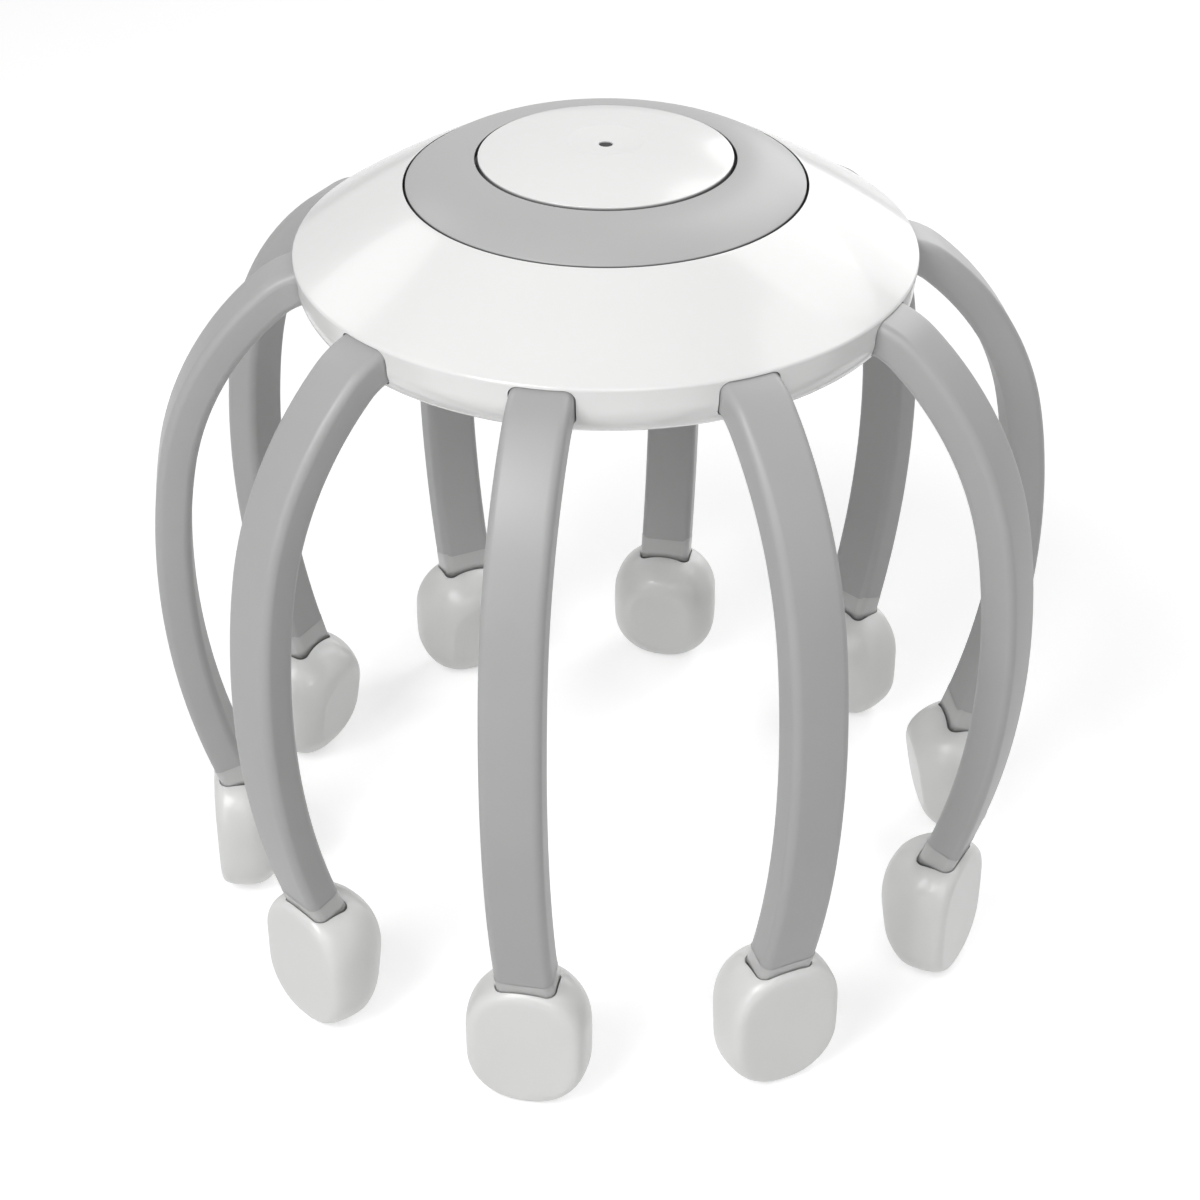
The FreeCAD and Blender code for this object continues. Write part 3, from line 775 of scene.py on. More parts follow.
@dataclass
class ArmForm:
    """The line and section that every arm follows; headings are degrees below the horizon."""

    width: float = 11.6
    thickness: float = 7.2
    corner: float = 1.8
    wall_point: Point = (59.0, -4.15)
    root_radius: float = 55.6
    heading: float = 18.0
    lead: float = 0.9
    bends: tuple[Bend, ...] = (
        Bend(14.2, 39.2, 10), Bend(59.3, 77.9, 20), Bend(110.0, 82.3, 6), Bend(149.3, 110.2, 28),
    )
    tang_bend: Bend = Bend(149.3, 113.9, 6)
    tang_size: Point = (7.6, 4.0)
    slot_back: float = 7.0
    slot_length: float = 15.0
    corner_segments: int = 10

    def along(self, point: Point, heading: float, length: float) -> Point:
        """The point a length further on along a heading."""
        angle = math.radians(heading)
        return (point[0] + length * math.cos(angle), point[1] - length * math.sin(angle))

    def centre(self, point: Point, heading: float, radius: float) -> Point:
        """Centre of a downward bend that starts at a point."""
        angle = math.radians(heading)
        return (point[0] - radius * math.sin(angle), point[1] - radius * math.cos(angle))

    def after(self, point: Point, heading: float, bend: Bend) -> Point:
        """The point where a bend reaches its new heading.

        Args:
            point: Where the bend starts.
            heading: The heading there.
            bend: The bend to follow.

        Returns:
            The point at its end.
        """
        middle = self.centre(point, heading, bend.radius)
        angle = math.radians(bend.heading)
        return (middle[0] + bend.radius * math.sin(angle), middle[1] + bend.radius * math.cos(angle))

    def end(self) -> Point:
        """The point where the arm's full section stops.

        Returns:
            The point.
        """
        point, heading = self.along(self.wall_point, self.heading, self.lead), self.heading
        for bend in self.bends:
            point, heading = self.after(point, heading, bend), bend.heading
        return point

    def stand(self, point: Point, heading: float) -> Matrix:
        """Places a section square to the arm's line.

        Args:
            point: Where its middle goes.
            heading: The line's heading there.

        Returns:
            The placing matrix.
        """
        angle = math.radians(heading)
        rise = Vector((math.sin(angle), 0.0, math.cos(angle)))
        return axes(Vector((0.0, 1.0, 0.0)), rise, radial(point))

    def section(self, mesh: Mesh, grow: float) -> Face:
        """Adds the arm's section, grown on every side.

        Args:
            mesh: Where it goes.
            grow: How much larger it is all round.

        Returns:
            The face.
        """
        return rounded_face(
            mesh, self.width + 2 * grow, self.thickness + 2 * grow, self.corner + grow,
            self.corner_segments,
        )

    def slot_tool(self, grow: float) -> Mesh:
        """The straight tool that opens the wall for one arm.

        Args:
            grow: Room all round the arm.

        Returns:
            The tool's shape.
        """
        mesh = bmesh.new()
        face = self.section(mesh, grow)
        begin = self.along(self.wall_point, self.heading, -self.slot_back)
        bmesh.ops.transform(mesh, matrix=self.stand(begin, self.heading), verts=mesh.verts)
        end = self.along(begin, self.heading, self.slot_length)
        push(mesh, face, radial(end) - radial(begin))
        return outward(mesh)

    def sleeve(self, grow: float, below: float, above: float) -> Mesh:
        """A straight sleeve round the arm's end.

        Args:
            grow: How much larger than the arm it is all round.
            below: How far it reaches past the arm's end.
            above: How far it climbs the arm.

        Returns:
            The sleeve's shape.
        """
        mesh = bmesh.new()
        face = self.section(mesh, grow)
        heading = self.bends[-1].heading
        place = self.stand(self.along(self.end(), heading, below), heading)
        bmesh.ops.transform(mesh, matrix=place, verts=mesh.verts)
        push(mesh, face, radial(self.along((0.0, 0.0), heading, -below - above)))
        return outward(mesh)

    def limb(self, grow: float = 0.0) -> Mesh:
        """Sweeps the arm from its root to the tang in the pad.

        Args:
            grow: Extra size all round, for a tool that makes room.

        Returns:
            The arm's shape.
        """
        mesh = bmesh.new()
        face = self.section(mesh, grow)
        back = (self.wall_point[0] - self.root_radius) / math.cos(math.radians(self.heading))
        root = self.along(self.wall_point, self.heading, -back)
        bmesh.ops.transform(mesh, matrix=self.stand(root, self.heading), verts=mesh.verts)
        point, heading = self.along(self.wall_point, self.heading, self.lead), self.heading
        face = push(mesh, face, radial(point) - radial(root))
        for bend in self.bends:
            middle = radial(self.centre(point, heading, bend.radius))
            face = swing(mesh, face, middle, bend.heading - heading, bend.steps)
            point, heading = self.after(point, heading, bend), bend.heading
        self._tang(mesh, face, grow)
        return outward(mesh)

    def _tang(self, mesh: Mesh, face: Face, grow: float) -> None:
        """Draws the arm's end in and carries it on as the tang.

        Args:
            mesh: The arm's shape.
            face: Its end.
            grow: Extra size all round.
        """
        face = push(mesh, face, Vector())
        point, heading = self.end(), self.bends[-1].heading
        stand = self.stand(point, heading)
        shrink = Matrix.Diagonal((
            (self.tang_size[0] + 2 * grow) / (self.width + 2 * grow),
            (self.tang_size[1] + 2 * grow) / (self.thickness + 2 * grow), 1.0, 1.0,
        ))
        bmesh.ops.transform(mesh, matrix=stand @ shrink @ stand.inverted(), verts=face.verts)
        middle = radial(self.centre(point, heading, self.tang_bend.radius))
        swing(mesh, face, middle, self.tang_bend.heading - heading, self.tang_bend.steps)


@dataclass
class Dome:
    """The white shell with its ten slots and the port at the back."""

    arm: ArmForm
    crease: float = 60.0
    ring_edge: Point = (38.4, 12.95)
    cap_edge: Point = (24.75, 18.0)
    dome_middle: Point = (49.4, 6.77)
    ring_middle: Point = (31.8, 16.2)
    recess: float = 2.0
    lip_under: float = 14.2
    ceiling_middle: Point = (42.0, 7.3)
    ceiling_foot: float = -1.9
    wall: float = 2.2
    wall_straight: float = 3.4
    draft: float = 0.5
    fillet: float = 7.9
    opening: float = 50.5
    crease_round: float = 0.42
    lip_round: float = 0.18
    slot_room: float = 0.24
    port_size: Point = (9.8, 4.0)
    port_flat: float = 0.05
    port_height: float = -4.8
    port_depth: float = 8.0
    port_length: float = 12.0
    steps: int = 320

    def profile(self) -> Mesh:
        """Spins the shell's section, wall thickness included.

        Returns:
            The shell before its slots are cut.
        """
        inner = self.crease - self.wall
        under = -(self.wall_straight + self.fillet)
        foot = self.crease - self.fillet
        small = self.fillet - self.wall
        half = math.cos(math.pi / 4)
        edge, top = self.ring_edge
        sketch = Sketch((self.crease, 0.0))
        sketch.arc(self.dome_middle, self.ring_edge, steps=30)
        sketch.line((edge, top - SEAM), (edge, top - self.recess))
        sketch.arc(
            (self.ring_middle[0], self.ring_middle[1] - self.recess),
            (self.cap_edge[0], self.cap_edge[1] - self.recess), steps=8,
        )
        sketch.line((self.cap_edge[0], self.lip_under))
        sketch.arc(self.ceiling_middle, (inner, self.ceiling_foot), steps=16)
        sketch.line((inner, -self.wall_straight))
        sketch.arc(
            (foot + small * half, -self.wall_straight - small * half), (foot, under + self.wall), steps=10,
        )
        sketch.line((self.opening, under + self.wall), (self.opening, under), (foot, under))
        sketch.arc(
            (foot + self.fillet * half - self.draft / 2, -self.wall_straight - self.fillet * half),
            (self.crease - self.draft, -self.wall_straight), steps=18,
        )
        mesh = sketch.spun(self.steps)
        # Painted shade down the recess wall, in the seam round the ring
        paint_seam_shade_below(mesh, edge, top - SEAM)
        round_rings(mesh, [(self.crease, 0.0)], self.crease_round, segments=6)
        round_rings(mesh, [self.ring_edge, (self.opening, under)], self.lip_round, segments=4)
        return mesh

    def port_tool(self) -> Mesh:
        """The tool that opens the wall for the charging socket.

        Returns:
            The tool's shape.
        """
        mesh = bmesh.new()
        face = rounded_face(mesh, *self.port_size, self.port_size[1] / 2 - self.port_flat, segments=10)
        start = Vector((0.0, self.crease - self.port_depth, self.port_height))
        place = axes(Vector((1.0, 0.0, 0.0)), Vector((0.0, 0.0, 1.0)), start)
        bmesh.ops.transform(mesh, matrix=place, verts=mesh.verts)
        push(mesh, face, Vector((0.0, self.port_length, 0.0)))
        return outward(mesh)

    def build(self) -> None:
        """Builds the shell and cuts its openings."""
        shape = cut_away(self.profile(), all_round(self.arm.slot_tool(self.slot_room), ARM_COUNT))
        shape = cut_away(shape, self.port_tool())
        Piece("dome_shell", HOUSING, "shell_white", SHELL_GLOSS, ("main_shell",), sharp=24.0).fixed(shape)


@dataclass
class TrimRing:
    """The satin ring let into the dome."""

    outer: Point = (37.95, 13.0)
    middle: Point = (31.8, 16.3)
    inner: Point = (24.75, 17.65)
    thickness: float = 1.55
    edge_round: float = 0.14
    steps: int = 288

    def build(self) -> None:
        """Spins the ring, paints shade down the walls of its two seams and rounds its two upper edges."""
        sketch = Sketch(self.outer)
        sketch.arc(self.middle, self.inner, steps=14)
        sketch.line((self.inner[0], self.inner[1] - SEAM), (self.inner[0], self.inner[1] - self.thickness))
        sketch.arc(
            (self.middle[0], self.middle[1] - self.thickness),
            (self.outer[0], self.outer[1] - self.thickness), steps=8,
        )
        sketch.line((self.outer[0], self.outer[1] - SEAM))
        shape = sketch.spun(self.steps)
        # Painted shade down the outer and inner walls, in the seams beside the dome and the cap
        for radius, height in (self.outer, self.inner):
            paint_seam_shade_below(shape, radius, height - SEAM)
        round_rings(shape, [self.outer, self.inner], self.edge_round, segments=4)
        Piece("trim_band", HOUSING, "trim_grey", TRIM_SATIN, ("trim_ring",), sharp=40.0).fixed(shape)


@dataclass
class ButtonCap:
    """The white cap with its fingertip dimple, the smoked lens and the return spring."""

    radius: float = 24.15
    crown: float = 21.1
    sphere: float = 95.0
    dimple_radius: float = 7.35
    dimple_depth: float = 0.8
    rim_round: float = 0.22
    edge_round: float = 0.2
    # How far below the cap's edge the painted shade on its side wall begins, in millimetres
    painted_shade_depth: float = 0.5
    wall: float = 1.8
    flange: float = 25.6
    flange_z: Point = (12.4, 13.6)
    skirt_bore: float = 22.6
    steps: int = 256
    lens_hole: float = 1.35
    lens_gap: float = 0.06
    lens_drop: float = 0.10
    lens_bow: float = 0.02
    lens_edge: float = 0.08
    lens_collar: float = 2.4
    lens_collar_z: Point = (15.8, 16.5)
    lens_foot: float = 12.6
    lens_steps: int = 64
    coil_radius: float = 4.6
    coil_wire: float = 0.7
    coil_turns: float = 4.5
    coil_gaps: Point = (0.02, 0.06)
    coil_steps: int = 40
    wire_sides: int = 14
    board_top: float = 9.2

    def height(self, radius: float) -> float:
        """Height of the cap's top at a radius."""
        return self.crown - self.sphere + math.sqrt(self.sphere ** 2 - radius ** 2)

    def dimple(self, radius: float) -> float:
        """Height of the dimple's floor at a radius.

        Args:
            radius: Distance from the cap's axis.

        Returns:
            The height.
        """
        bowl = (self.dimple_radius ** 2 + self.dimple_depth ** 2) / (2 * self.dimple_depth)
        floor = self.height(self.dimple_radius) - self.dimple_depth
        return floor + bowl - math.sqrt(bowl ** 2 - radius ** 2)

    def under(self, radius: float) -> float:
        """Height of the cap's inner face at a radius."""
        return self.height(radius) - self.wall - self.dimple_depth

    def cap(self) -> Mesh:
        """Spins the cap and softens the dimple's rim and the outer edge.

        Returns:
            The cap's shape.
        """
        rim = (self.dimple_radius, self.height(self.dimple_radius))
        edge = (self.radius, self.height(self.radius))
        half = (self.lens_hole + self.dimple_radius) / 2
        shoulder = (self.dimple_radius + self.radius) / 2
        inside = (self.lens_hole + self.skirt_bore) / 2
        low, high = self.flange_z
        sketch = Sketch((self.lens_hole, self.dimple(self.lens_hole)))
        sketch.arc((half, self.dimple(half)), rim, steps=12)
        sketch.arc((shoulder, self.height(shoulder)), edge, steps=20)
        sketch.line((self.radius, edge[1] - self.painted_shade_depth))
        sketch.line((self.radius, high), (self.flange, high), (self.flange, low), (self.skirt_bore, low))
        sketch.line((self.skirt_bore, self.under(self.skirt_bore)))
        sketch.arc((inside, self.under(inside)), (self.lens_hole, self.under(self.lens_hole)), steps=10)
        shape = sketch.spun(self.steps)
        # Painted shade on the side wall, in the seam inside the ring
        paint_seam_shade_below(shape, self.radius, edge[1] - self.painted_shade_depth)
        round_rings(shape, [rim], self.rim_round, segments=6)
        round_rings(shape, [edge], self.edge_round, segments=5)
        return shape

    def lens(self) -> Mesh:
        """Spins the lens: a rod with a collar and a softly domed end.

        Returns:
            The lens's shape.
        """
        rod = self.lens_hole - self.lens_gap
        top = self.dimple(0.0) - self.lens_drop
        edge = (rod, top - self.lens_edge)
        low, high = self.lens_collar_z
        sketch = Sketch((NEAR_AXIS, top))
        sketch.arc((rod / 2, top - self.lens_bow), edge, steps=6)
        sketch.line((rod, high), (self.lens_collar, high), (self.lens_collar, low), (rod, low))
        sketch.line((rod, self.lens_foot), (NEAR_AXIS, self.lens_foot))
        shape = sketch.spun(self.lens_steps)
        round_rings(shape, [edge], self.lens_edge, segments=3)
        return shape

    def spring(self) -> Mesh:
        """Winds the return spring between the board and the cap.

        Returns:
            The spring's shape.
        """
        low = self.board_top + self.coil_wire / 2 + self.coil_gaps[0]
        high = self.under(self.coil_radius) - self.coil_wire / 2 - self.coil_gaps[1]
        steps = round(self.coil_turns * self.coil_steps)
        mesh = bmesh.new()
        place = Matrix.Translation((self.coil_radius, 0.0, low)) @ Matrix.Rotation(math.pi / 2, 4, "X")
        bmesh.ops.create_circle(mesh, segments=self.wire_sides, radius=self.coil_wire / 2, matrix=place)
        bmesh.ops.spin(
            mesh, geom=mesh.verts[:] + mesh.edges[:], cent=(0, 0, 0), axis=(0, 0, 1),
            dvec=(0, 0, (high - low) / steps), angle=self.coil_turns * FULL_TURN, steps=steps,
        )
        bmesh.ops.holes_fill(mesh, edges=[edge for edge in mesh.edges if edge.is_boundary], sides=0)
        return outward(mesh)

    def build(self) -> None:
        """Builds the cap, its lens and the spring under them."""
        coil = Piece(
            "return_coil", HOUSING, "spring_steel", SPRING_STEEL, ("button_return_spring",), sharp=60.0,
        )
        ends = (self.board_top + self.coil_wire, self.under(self.coil_radius) - self.coil_wire)
        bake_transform(coil.make(self.spring()))
        Piece("cap_top", BUTTON, "cap_white", CAP_GLOSS, ("button_cap",), sharp=40.0).fixed(self.cap())
        lens = Piece("cap_lens", BUTTON, "smoked_lens", LENS_SMOKE, ("button_light_pipe",), sharp=40.0)
        lens.fixed(self.lens())


@dataclass
class Arms:
    """The ten arms, each bent down from its slot to the tang in its pad."""

    form: ArmForm
    bend_start: Point = (60.4, -4.6)
    bend_end: Point = (74.0, -24.0)

    def build(self) -> None:
        """Builds every arm."""
        for label, turn in arm_places():
            body = f"arm_{label}_body"
            piece = Piece(f"arm_limb_{label}", body, "arm_grey", ARM_GREY, (f"arm_{label}",), sharp=50.0)
            limb = piece.make(self.form.limb(), turn)
            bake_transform(limb)


@dataclass(frozen=True)
class Outline:
    """One outline of a pad: how far out and up it lies, its half sizes, corner and lean."""

    out: float
    up: float
    half_width: float
    half_height: float
    corner: float
    lean: float


@dataclass
class Pads:
    """The ten silicone pads: soft wedges with a flat outward face and a mouth for the arm.

    The outlines swell a little, because smoothing draws them in.
    """

    arm: ArmForm
    offset: Point = (-1.19, -11.85)
    swell: float = 1.006
    room: float = 0.06
    face_edge: float = 0.7
    mouth_gap: float = 0.28
    mouth_depth: float = 0.6
    film_depth: float = 0.16
    film_root: float = 0.5
    film_climb: float = 6.1
    foot_merge: float = 1e-4
    corner_segments: int = 8
    smoothing: int = 2
    outlines: tuple[Outline, ...] = (
        Outline(7.1, 0.0, 9.5, 12.0, 8.4, 0.0),
        Outline(6.8, 0.0, 10.8, 13.3, 9.8, 0.0),
        Outline(5.3, 0.0, 11.8, 14.2, 10.8, 0.0),
        Outline(2.6, 0.0, 12.2, 14.55, 11.2, 0.0),
        Outline(0.0, 0.0, 12.3, 14.6, 11.3, 0.0),
        Outline(-1.9, -0.2, 11.9, 14.25, 10.9, 2.5),
        Outline(-3.9, -0.4, 11.1, 13.3, 10.1, 5.0),
        Outline(-5.8, -0.6, 9.8, 11.8, 8.8, 7.5),
        Outline(-7.1, -0.75, 8.5, 10.2, 7.5, 9.0),
        Outline(-7.75, -0.85, 7.0, 8.5, 6.0, 10.0),
    )

    def middle(self) -> Vector:
        """The pad's middle, set from the arm's end."""
        end = self.arm.end()
        return radial((end[0] + self.offset[0], end[1] + self.offset[1]))

    def outline_face(self, mesh: Mesh, outline: Outline) -> Face:
        """Adds one outline of the pad.

        Args:
            mesh: Where it goes.
            outline: Its place and sizes.

        Returns:
            The face inside the outline.
        """
        angle = math.radians(outline.lean)
        known = set(mesh.verts)
        face = rounded_face(
            mesh, 2 * outline.half_width * self.swell, 2 * outline.half_height * self.swell,
            outline.corner * self.swell, self.corner_segments,
        )
        rise = Vector((-math.sin(angle), 0.0, math.cos(angle)))
        place = axes(Vector((0.0, 1.0, 0.0)), rise, self.middle() + radial((outline.out, outline.up)))
        bmesh.ops.transform(mesh, matrix=place, verts=added(mesh, known))
        return face

    def skin(self) -> Mesh:
        """Bridges the outlines and smooths them into one skin.

        Returns:
            The pad's shape before the arm goes in.
        """
        mesh = bmesh.new()
        faces = [self.outline_face(mesh, outline) for outline in self.outlines]
        loops = [list(face.edges) for face in faces]
        bmesh.ops.delete(mesh, geom=faces[1:-1], context="FACES_ONLY")
        for first, second in zip(loops, loops[1:]):
            bmesh.ops.bridge_loops(mesh, edges=first + second)
        for face in (faces[0], faces[-1]):
            bmesh.ops.inset_region(mesh, faces=[face], thickness=self.face_edge, use_even_offset=True)
        target = plain_object(outward(mesh), "pad_work")
        smooth = target.modifiers.new("smooth", "SUBSURF")
        smooth.levels = smooth.render_levels = self.smoothing
        return applied(target)

    def mouth(self, skin: Mesh) -> Mesh:
        """The tool for the shallow mouth that the arm goes into.

        Args:
            skin: The pad's shape, which the mouth's floor runs parallel to.

        Returns:
            The tool's shape.
        """
        tool = self.arm.sleeve(self.mouth_gap, self.film_root, self.film_climb * 2)
        floor = skin.copy()
        reach = (
            abs(self.outlines[0].out - self.outlines[-1].out),
            2 * max(outline.half_width for outline in self.outlines),
            2 * max(outline.half_height for outline in self.outlines),
        )
        bmesh.ops.scale(
            floor, vec=[1.0 - 2 * self.mouth_depth / size for size in reach],
            space=Matrix.Translation(-self.middle()), verts=floor.verts,
        )
        return cut_away(tool, floor)

    def film(self) -> Mesh:
        """The thin film of silicone that climbs the arm's end, marked all over: its grey is partly the arm
        seen through thin silicone and partly painted shade for the mouth round the arm.

        Returns:
            The film's shape.
        """
        sleeve = self.arm.sleeve(self.film_depth, self.film_root, self.film_climb)
        mesh = cut_away(sleeve, self.arm.limb(self.room))
        layer = mesh.verts.layers.float.new(FILM_AND_SHADE_ATTRIBUTE)
        for vert in mesh.verts:
            vert[layer] = 1.0
        return mesh

    def shape(self) -> Mesh:
        """Opens the mouth, levels the foot, fits the arm and adds the film.

        Returns:
            The finished pad.
        """
        skin = self.skin()
        mesh = cut_away(skin, self.mouth(skin))
        cut = bmesh.ops.bisect_plane(
            mesh, geom=mesh.verts[:] + mesh.edges[:] + mesh.faces[:], dist=self.foot_merge,
            plane_co=(0.0, 0.0, -CREASE_HEIGHT), plane_no=(0.0, 0.0, -1.0), clear_outer=True,
        )
        bmesh.ops.holes_fill(mesh, edges=only(bmesh.types.BMEdge, cut["geom_cut"]), sides=0)
        mesh = cut_away(mesh, self.arm.limb(self.room))
        mesh.verts.layers.float.new(FILM_AND_SHADE_ATTRIBUTE)
        film = bpy.data.meshes.new("film_work")
        self.film().to_mesh(film)
        mesh.from_mesh(film)
        bpy.data.meshes.remove(film)
        return mesh

    def build(self) -> None:
        shape = self.shape()
        for label, turn in arm_places():
            piece = Piece(
                f"pad_{label}", f"arm_{label}_body", "pad_silicone", PAD_SILICONE,
                (f"arm_pad_{label}",), sharp=42.0,
            )
            piece.fixed(shape.copy(), turn)
        shape.free()


@dataclass
class Underside:
    """What shows from below and behind: cover screws and socket, and the foam under the cell."""

    screw_radius: float = 44.0
    screw_start: float = 54.0
    screw_count: int = 5
    screw_steps: int = 48
    seat: float = -8.0
    head: float = 2.3
    head_height: float = 1.6
    head_round: float = 0.55
    shank: float = 1.25
    shank_length: float = 9.0
    shank_tip: float = 0.5
    cross: Triple = (2.6, 0.62, 1.0)
    cross_rise: float = 0.2
    socket_size: Triple = (9.0, 7.4, 3.2)
    socket_flat: float = 0.05
    socket_mouth: float = 57.2
    socket_height: float = -4.8
    socket_floor: float = 1.2
    sheet: float = 0.3
    tongue_size: Triple = (6.6, 5.0, 0.7)
    tongue_back: float = 3.7
    tongue_round: float = 0.12
    contact_size: Triple = (0.32, 3.4, 0.05)
    contact_back: float = 3.2
    contact_rise: float = 0.36
    contact_pitch: float = 0.68
    contact_count: int = 8
    foam_size: Triple = (28.0, 16.8, 1.0)
    foam_middle: Triple = (0.0, 21.6, -8.8)
    foam_round: float = 0.3

    def screws(self) -> Mesh:
        """Builds the cover screws: pan heads with a cross recess.

        Returns:
            All the screws in one shape.
        """
        low, tip = self.seat - self.head_height, self.seat + self.shank_length
        sketch = Sketch((NEAR_AXIS, low))
        sketch.line((self.head, low), (self.head, self.seat), (self.shank, self.seat))
        sketch.line((self.shank, tip - self.shank_tip), (self.shank - self.shank_tip, tip))
        sketch.line((NEAR_AXIS, tip))
        shape = sketch.spun(self.screw_steps)
        round_rings(shape, [(self.head, low)], self.head_round, segments=4)
        for turn in (0.0, 90.0):
            tool = bmesh.new()
            block(tool, self.cross, (0.0, 0.0, low + self.cross_rise))
            bmesh.ops.rotate(tool, matrix=turned(turn).to_3x3(), verts=tool.verts)
            shape = cut_away(shape, tool)
        bmesh.ops.translate(shape, vec=(self.screw_radius, 0.0, 0.0), verts=shape.verts)
        return all_round(shape, self.screw_count, self.screw_start)

    def socket(self) -> Mesh:
        """Builds the socket's drawn sleeve, hollow behind the face that stays across its mouth.

        Returns:
            The sleeve's shape.
        """
        width, depth, height = self.socket_size
        mesh = bmesh.new()
        face = rounded_face(mesh, width, height, height / 2 - self.socket_flat, segments=10)
        back = Vector((0.0, self.socket_mouth - depth, self.socket_height))
        place = axes(Vector((-1.0, 0.0, 0.0)), Vector((0.0, 0.0, 1.0)), back)
        bmesh.ops.transform(mesh, matrix=place, verts=mesh.verts)
        mouth = push(mesh, face, Vector((0.0, depth, 0.0)))
        bmesh.ops.inset_region(mesh, faces=[mouth], thickness=self.sheet, use_even_offset=True)
        push(mesh, mouth, Vector((0.0, self.socket_floor - depth, 0.0)))
        return outward(mesh)

    def tongue(self) -> Mesh:
        """Builds the socket's tongue.

        Returns:
            The tongue's shape.
        """
        mesh = bmesh.new()
        middle = (0.0, self.socket_mouth - self.tongue_back, self.socket_height)
        block(mesh, self.tongue_size, middle, self.tongue_round, segments=2)
        return mesh

    def contacts(self) -> Mesh:
        """Builds a row of contacts on each side of the tongue.

        Returns:
            The contacts' shape.
        """
        mesh = bmesh.new()
        along = self.socket_mouth - self.contact_back
        for side in (1, -1):
            for place in range(self.contact_count):
                across = (place - (self.contact_count - 1) / 2) * self.contact_pitch
                middle = (across, along, self.socket_height + side * self.contact_rise)
                block(mesh, self.contact_size, middle)
        return mesh

    def foam(self) -> Mesh:
        """Builds the foam slab under the cell, soft at its edges.

        Returns:
            The slab's shape.
        """
        mesh = bmesh.new()
        block(mesh, self.foam_size, self.foam_middle, self.foam_round, segments=4)
        return mesh

    def build(self) -> None:
        """Builds the screws, the socket and the foam."""
        Piece("cover_screw_set", HOUSING, "screw_steel", SCREW_STEEL, ("cover_screws",)).fixed(self.screws())
        Piece("port_sleeve", HOUSING, "bare_steel", SOCKET_STEEL, ("usb_socket",)).fixed(self.socket())
        Piece("port_tongue", HOUSING, "switch_black", TONGUE_BLACK, ()).fixed(self.tongue())
        Piece("port_contacts", HOUSING, "bare_steel", CONTACT_GOLD, ()).fixed(self.contacts())
        foam = Piece("cell_foam", HOUSING, "foam", FOAM_GREY, ("battery_pad",)).fixed(self.foam())


@dataclass(frozen=True)
class Lamp:
    """One soft box: its name, angles in degrees, width and distance in metres, and its level."""

    name: str
    azimuth: float
    height: float
    width: float
    level: float
    reach: float = 1.2


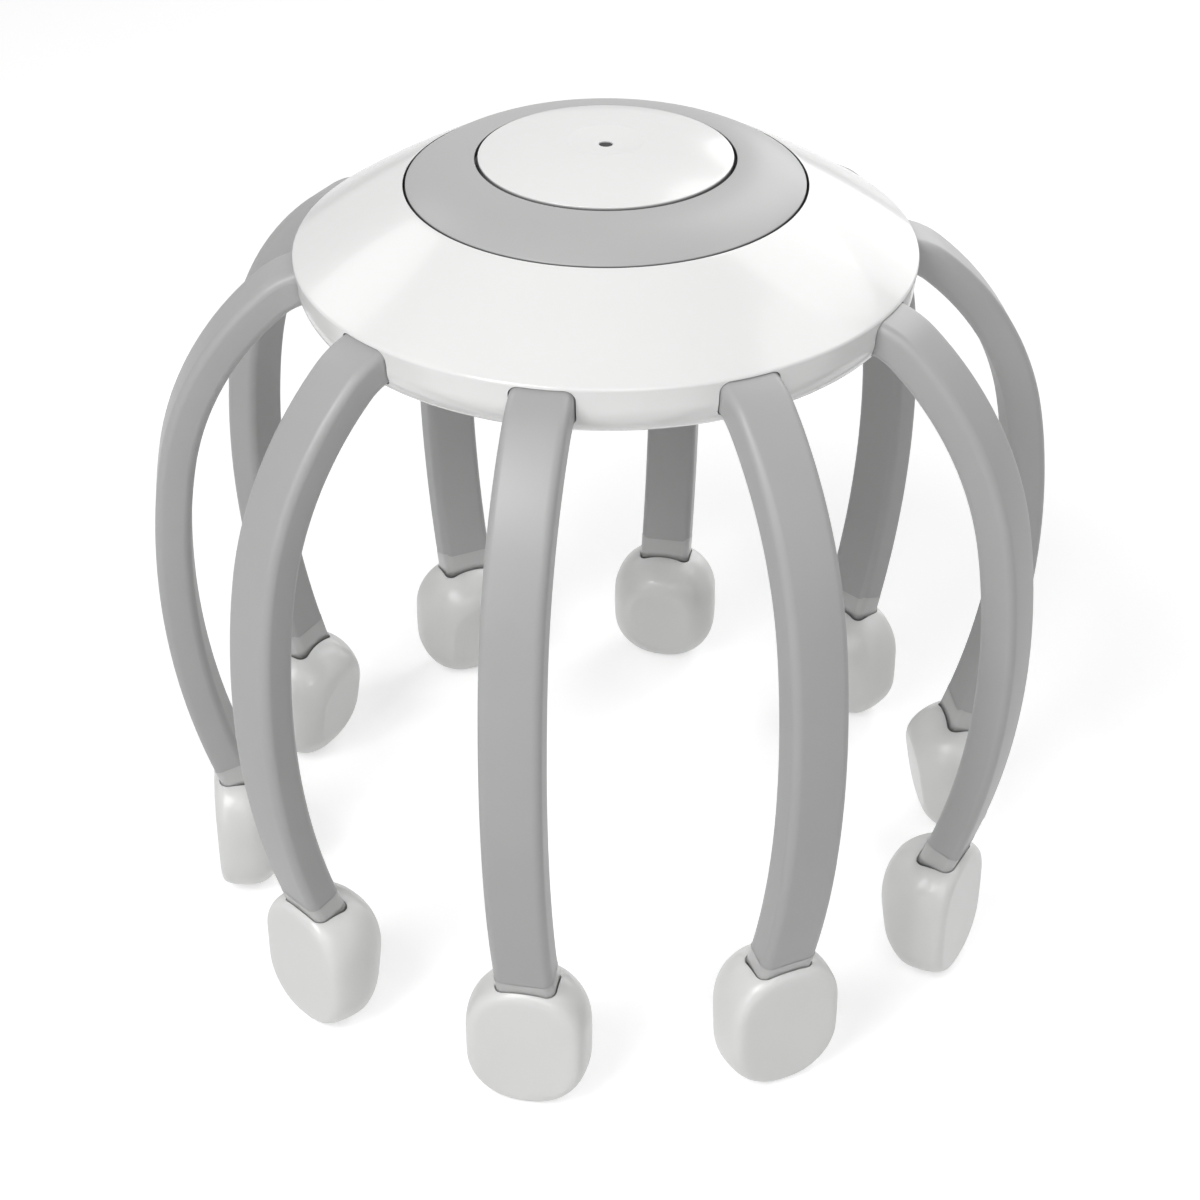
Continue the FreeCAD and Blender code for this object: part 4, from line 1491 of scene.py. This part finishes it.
@dataclass
class Studio:
    """The camera, the lamps and the pale floor.

    The camera's distance from the middle of the crease, its lens and its sensor are in
    millimetres, the other lengths in metres and the angles in degrees.
    """

    distance: float = 492.76
    elevation: float = 25.079
    pitch: float = 33.104
    yaw: float = -0.141
    turn: float = -7.227
    lens: float = 76.265
    sensor: float = 36.0
    clip: Point = (0.01, 100.0)
    aim: float = 0.09
    floor_size: float = 8.0
    floor_tone: float = 0.74
    floor_roughness: float = 0.9
    floor_lift: float = 0.52
    lamps: tuple[Lamp, ...] = (
        Lamp("key_left", -135.0, 45.0, 0.55, 0.47),
        Lamp("low_left", -135.0, 15.0, 0.45, 0.09),
        Lamp("front", -90.0, 40.0, 0.70, 0.24),
        Lamp("front_right", -45.0, 25.0, 0.60, 0.05),
        Lamp("right", 0.0, 45.0, 0.70, 0.15),
        Lamp("back_right", 45.0, 45.0, 0.70, 0.22),
        Lamp("low_right", 52.0, 17.0, 0.80, 0.19),
        Lamp("left", 180.0, 45.0, 0.70, 0.06),
        Lamp("glint_left", 134.0, 35.0, 0.46, 0.06),
    )

    def camera(self) -> None:
        """Sets the camera where the photograph was taken from."""
        rise, tilt, side = (math.radians(angle) for angle in (self.elevation, self.pitch, self.yaw))
        spin = turned(self.turn)
        place = Vector((0.0, -math.cos(rise), math.sin(rise))) * self.distance
        look = Vector((math.sin(side) * math.cos(tilt), math.cos(side) * math.cos(tilt), -math.sin(tilt)))
        data = bpy.data.cameras.new("camera")
        data.sensor_width = self.sensor
        data.lens = self.lens
        data.clip_start, data.clip_end = self.clip
        made = bpy.data.objects.new("camera", data)
        made.location = (spin @ place + Vector((0.0, 0.0, CREASE_HEIGHT))) * MM
        made.rotation_mode = "QUATERNION"
        made.rotation_quaternion = (spin @ look).to_track_quat("-Z", "Y")
        bpy.context.scene.collection.objects.link(made)
        bpy.context.scene.camera = made

    def lights(self) -> None:
        """Hangs the soft boxes round the object."""
        aim = Vector((0.0, 0.0, self.aim))
        for lamp in self.lamps:
            turn, rise = math.radians(lamp.azimuth), math.radians(lamp.height)
            flat = math.cos(rise)
            way = Vector((math.cos(turn) * flat, math.sin(turn) * flat, math.sin(rise)))
            data = bpy.data.lights.new(lamp.name, "AREA")
            data.shape = "DISK"
            data.size = lamp.width
            data.energy = lamp.level * (math.pi * lamp.reach) ** 2
            made = bpy.data.objects.new(lamp.name, data)
            made.location = aim + way * lamp.reach
            made.rotation_mode = "QUATERNION"
            made.rotation_quaternion = (-way).to_track_quat("-Z", "Y")
            bpy.context.scene.collection.objects.link(made)

    def _shown(self, tree: Tree, level: float) -> Socket:
        """A level where the eye, a mirror or glass looks, and nought for plain light.

        Args:
            tree: The node tree to add to.
            level: How bright it shows.

        Returns:
            The level's socket.
        """
        path = tree.nodes.new("ShaderNodeLightPath")
        total = path.outputs["Is Camera Ray"]
        for name in ("Is Glossy Ray", "Is Transmission Ray"):
            either = tree.nodes.new("ShaderNodeMath")
            either.operation = "MAXIMUM"
            tree.links.new(total, either.inputs[0])
            tree.links.new(path.outputs[name], either.inputs[1])
            total = either.outputs[0]
        span = tree.nodes.new("ShaderNodeMapRange")
        span.inputs["To Min"].default_value = 0.0
        span.inputs["To Max"].default_value = level
        tree.links.new(total, span.inputs["Value"])
        return span.outputs["Result"]

    def world(self) -> None:
        """Shows the room as white and leaves the lighting to the lamps."""
        world = bpy.data.worlds.new("room")
        world.use_nodes = True
        bpy.context.scene.world = world
        tree = world.node_tree
        back = tree.nodes["Background"]
        back.inputs["Color"].default_value = WHITE
        tree.links.new(self._shown(tree, 1.0), back.inputs["Strength"])

    def floor(self) -> None:
        """Lays the pale floor, which the eye sees as white outside the shadow."""
        mesh = bmesh.new()
        bmesh.ops.create_grid(mesh, x_segments=1, y_segments=1, size=self.floor_size / 2)
        made = plain_object(mesh, "floor")
        material = bpy.data.materials.new("floor_pale")
        material.use_nodes = True
        tree = material.node_tree
        shader = tree.nodes["Principled BSDF"]
        shader.inputs["Base Color"].default_value = (*[self.floor_tone] * 3, 1.0)
        shader.inputs["Roughness"].default_value = self.floor_roughness
        shader.inputs["Specular IOR Level"].default_value = 0.0
        shader.inputs["Emission Color"].default_value = WHITE
        tree.links.new(self._shown(tree, self.floor_lift), shader.inputs["Emission Strength"])
        made.data.materials.append(material)

    def build(self) -> None:
        """Sets up the studio."""
        bpy.context.scene.view_settings.view_transform = "Standard"
        self.camera()
        self.lights()
        self.world()
        self.floor()


def dress_carried_over() -> None:
    """Gives each CAD node that stays its finish."""
    cores = {f"arm_core_{label}": SPRING_STEEL for label, _ in arm_places()}
    for name, finish in {**CARRIED_OVER, **cores}.items():
        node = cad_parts[name]
        node.data.materials.clear()
        node.data.materials.append(finish.material())
        LOG.info("%s: %s", name, finish.name)


def main() -> None:
    """Builds every sub-assembly in order, then the studio."""
    logging.basicConfig(level=logging.INFO, format="%(message)s", stream=sys.stdout)
    arm = ArmForm()
    Dome(arm).build()
    TrimRing().build()
    ButtonCap().build()
    Arms(arm).build()
    Pads(arm).build()
    Underside().build()
    dress_carried_over()
    Studio().build()


if __name__ == "__main__":
    main()
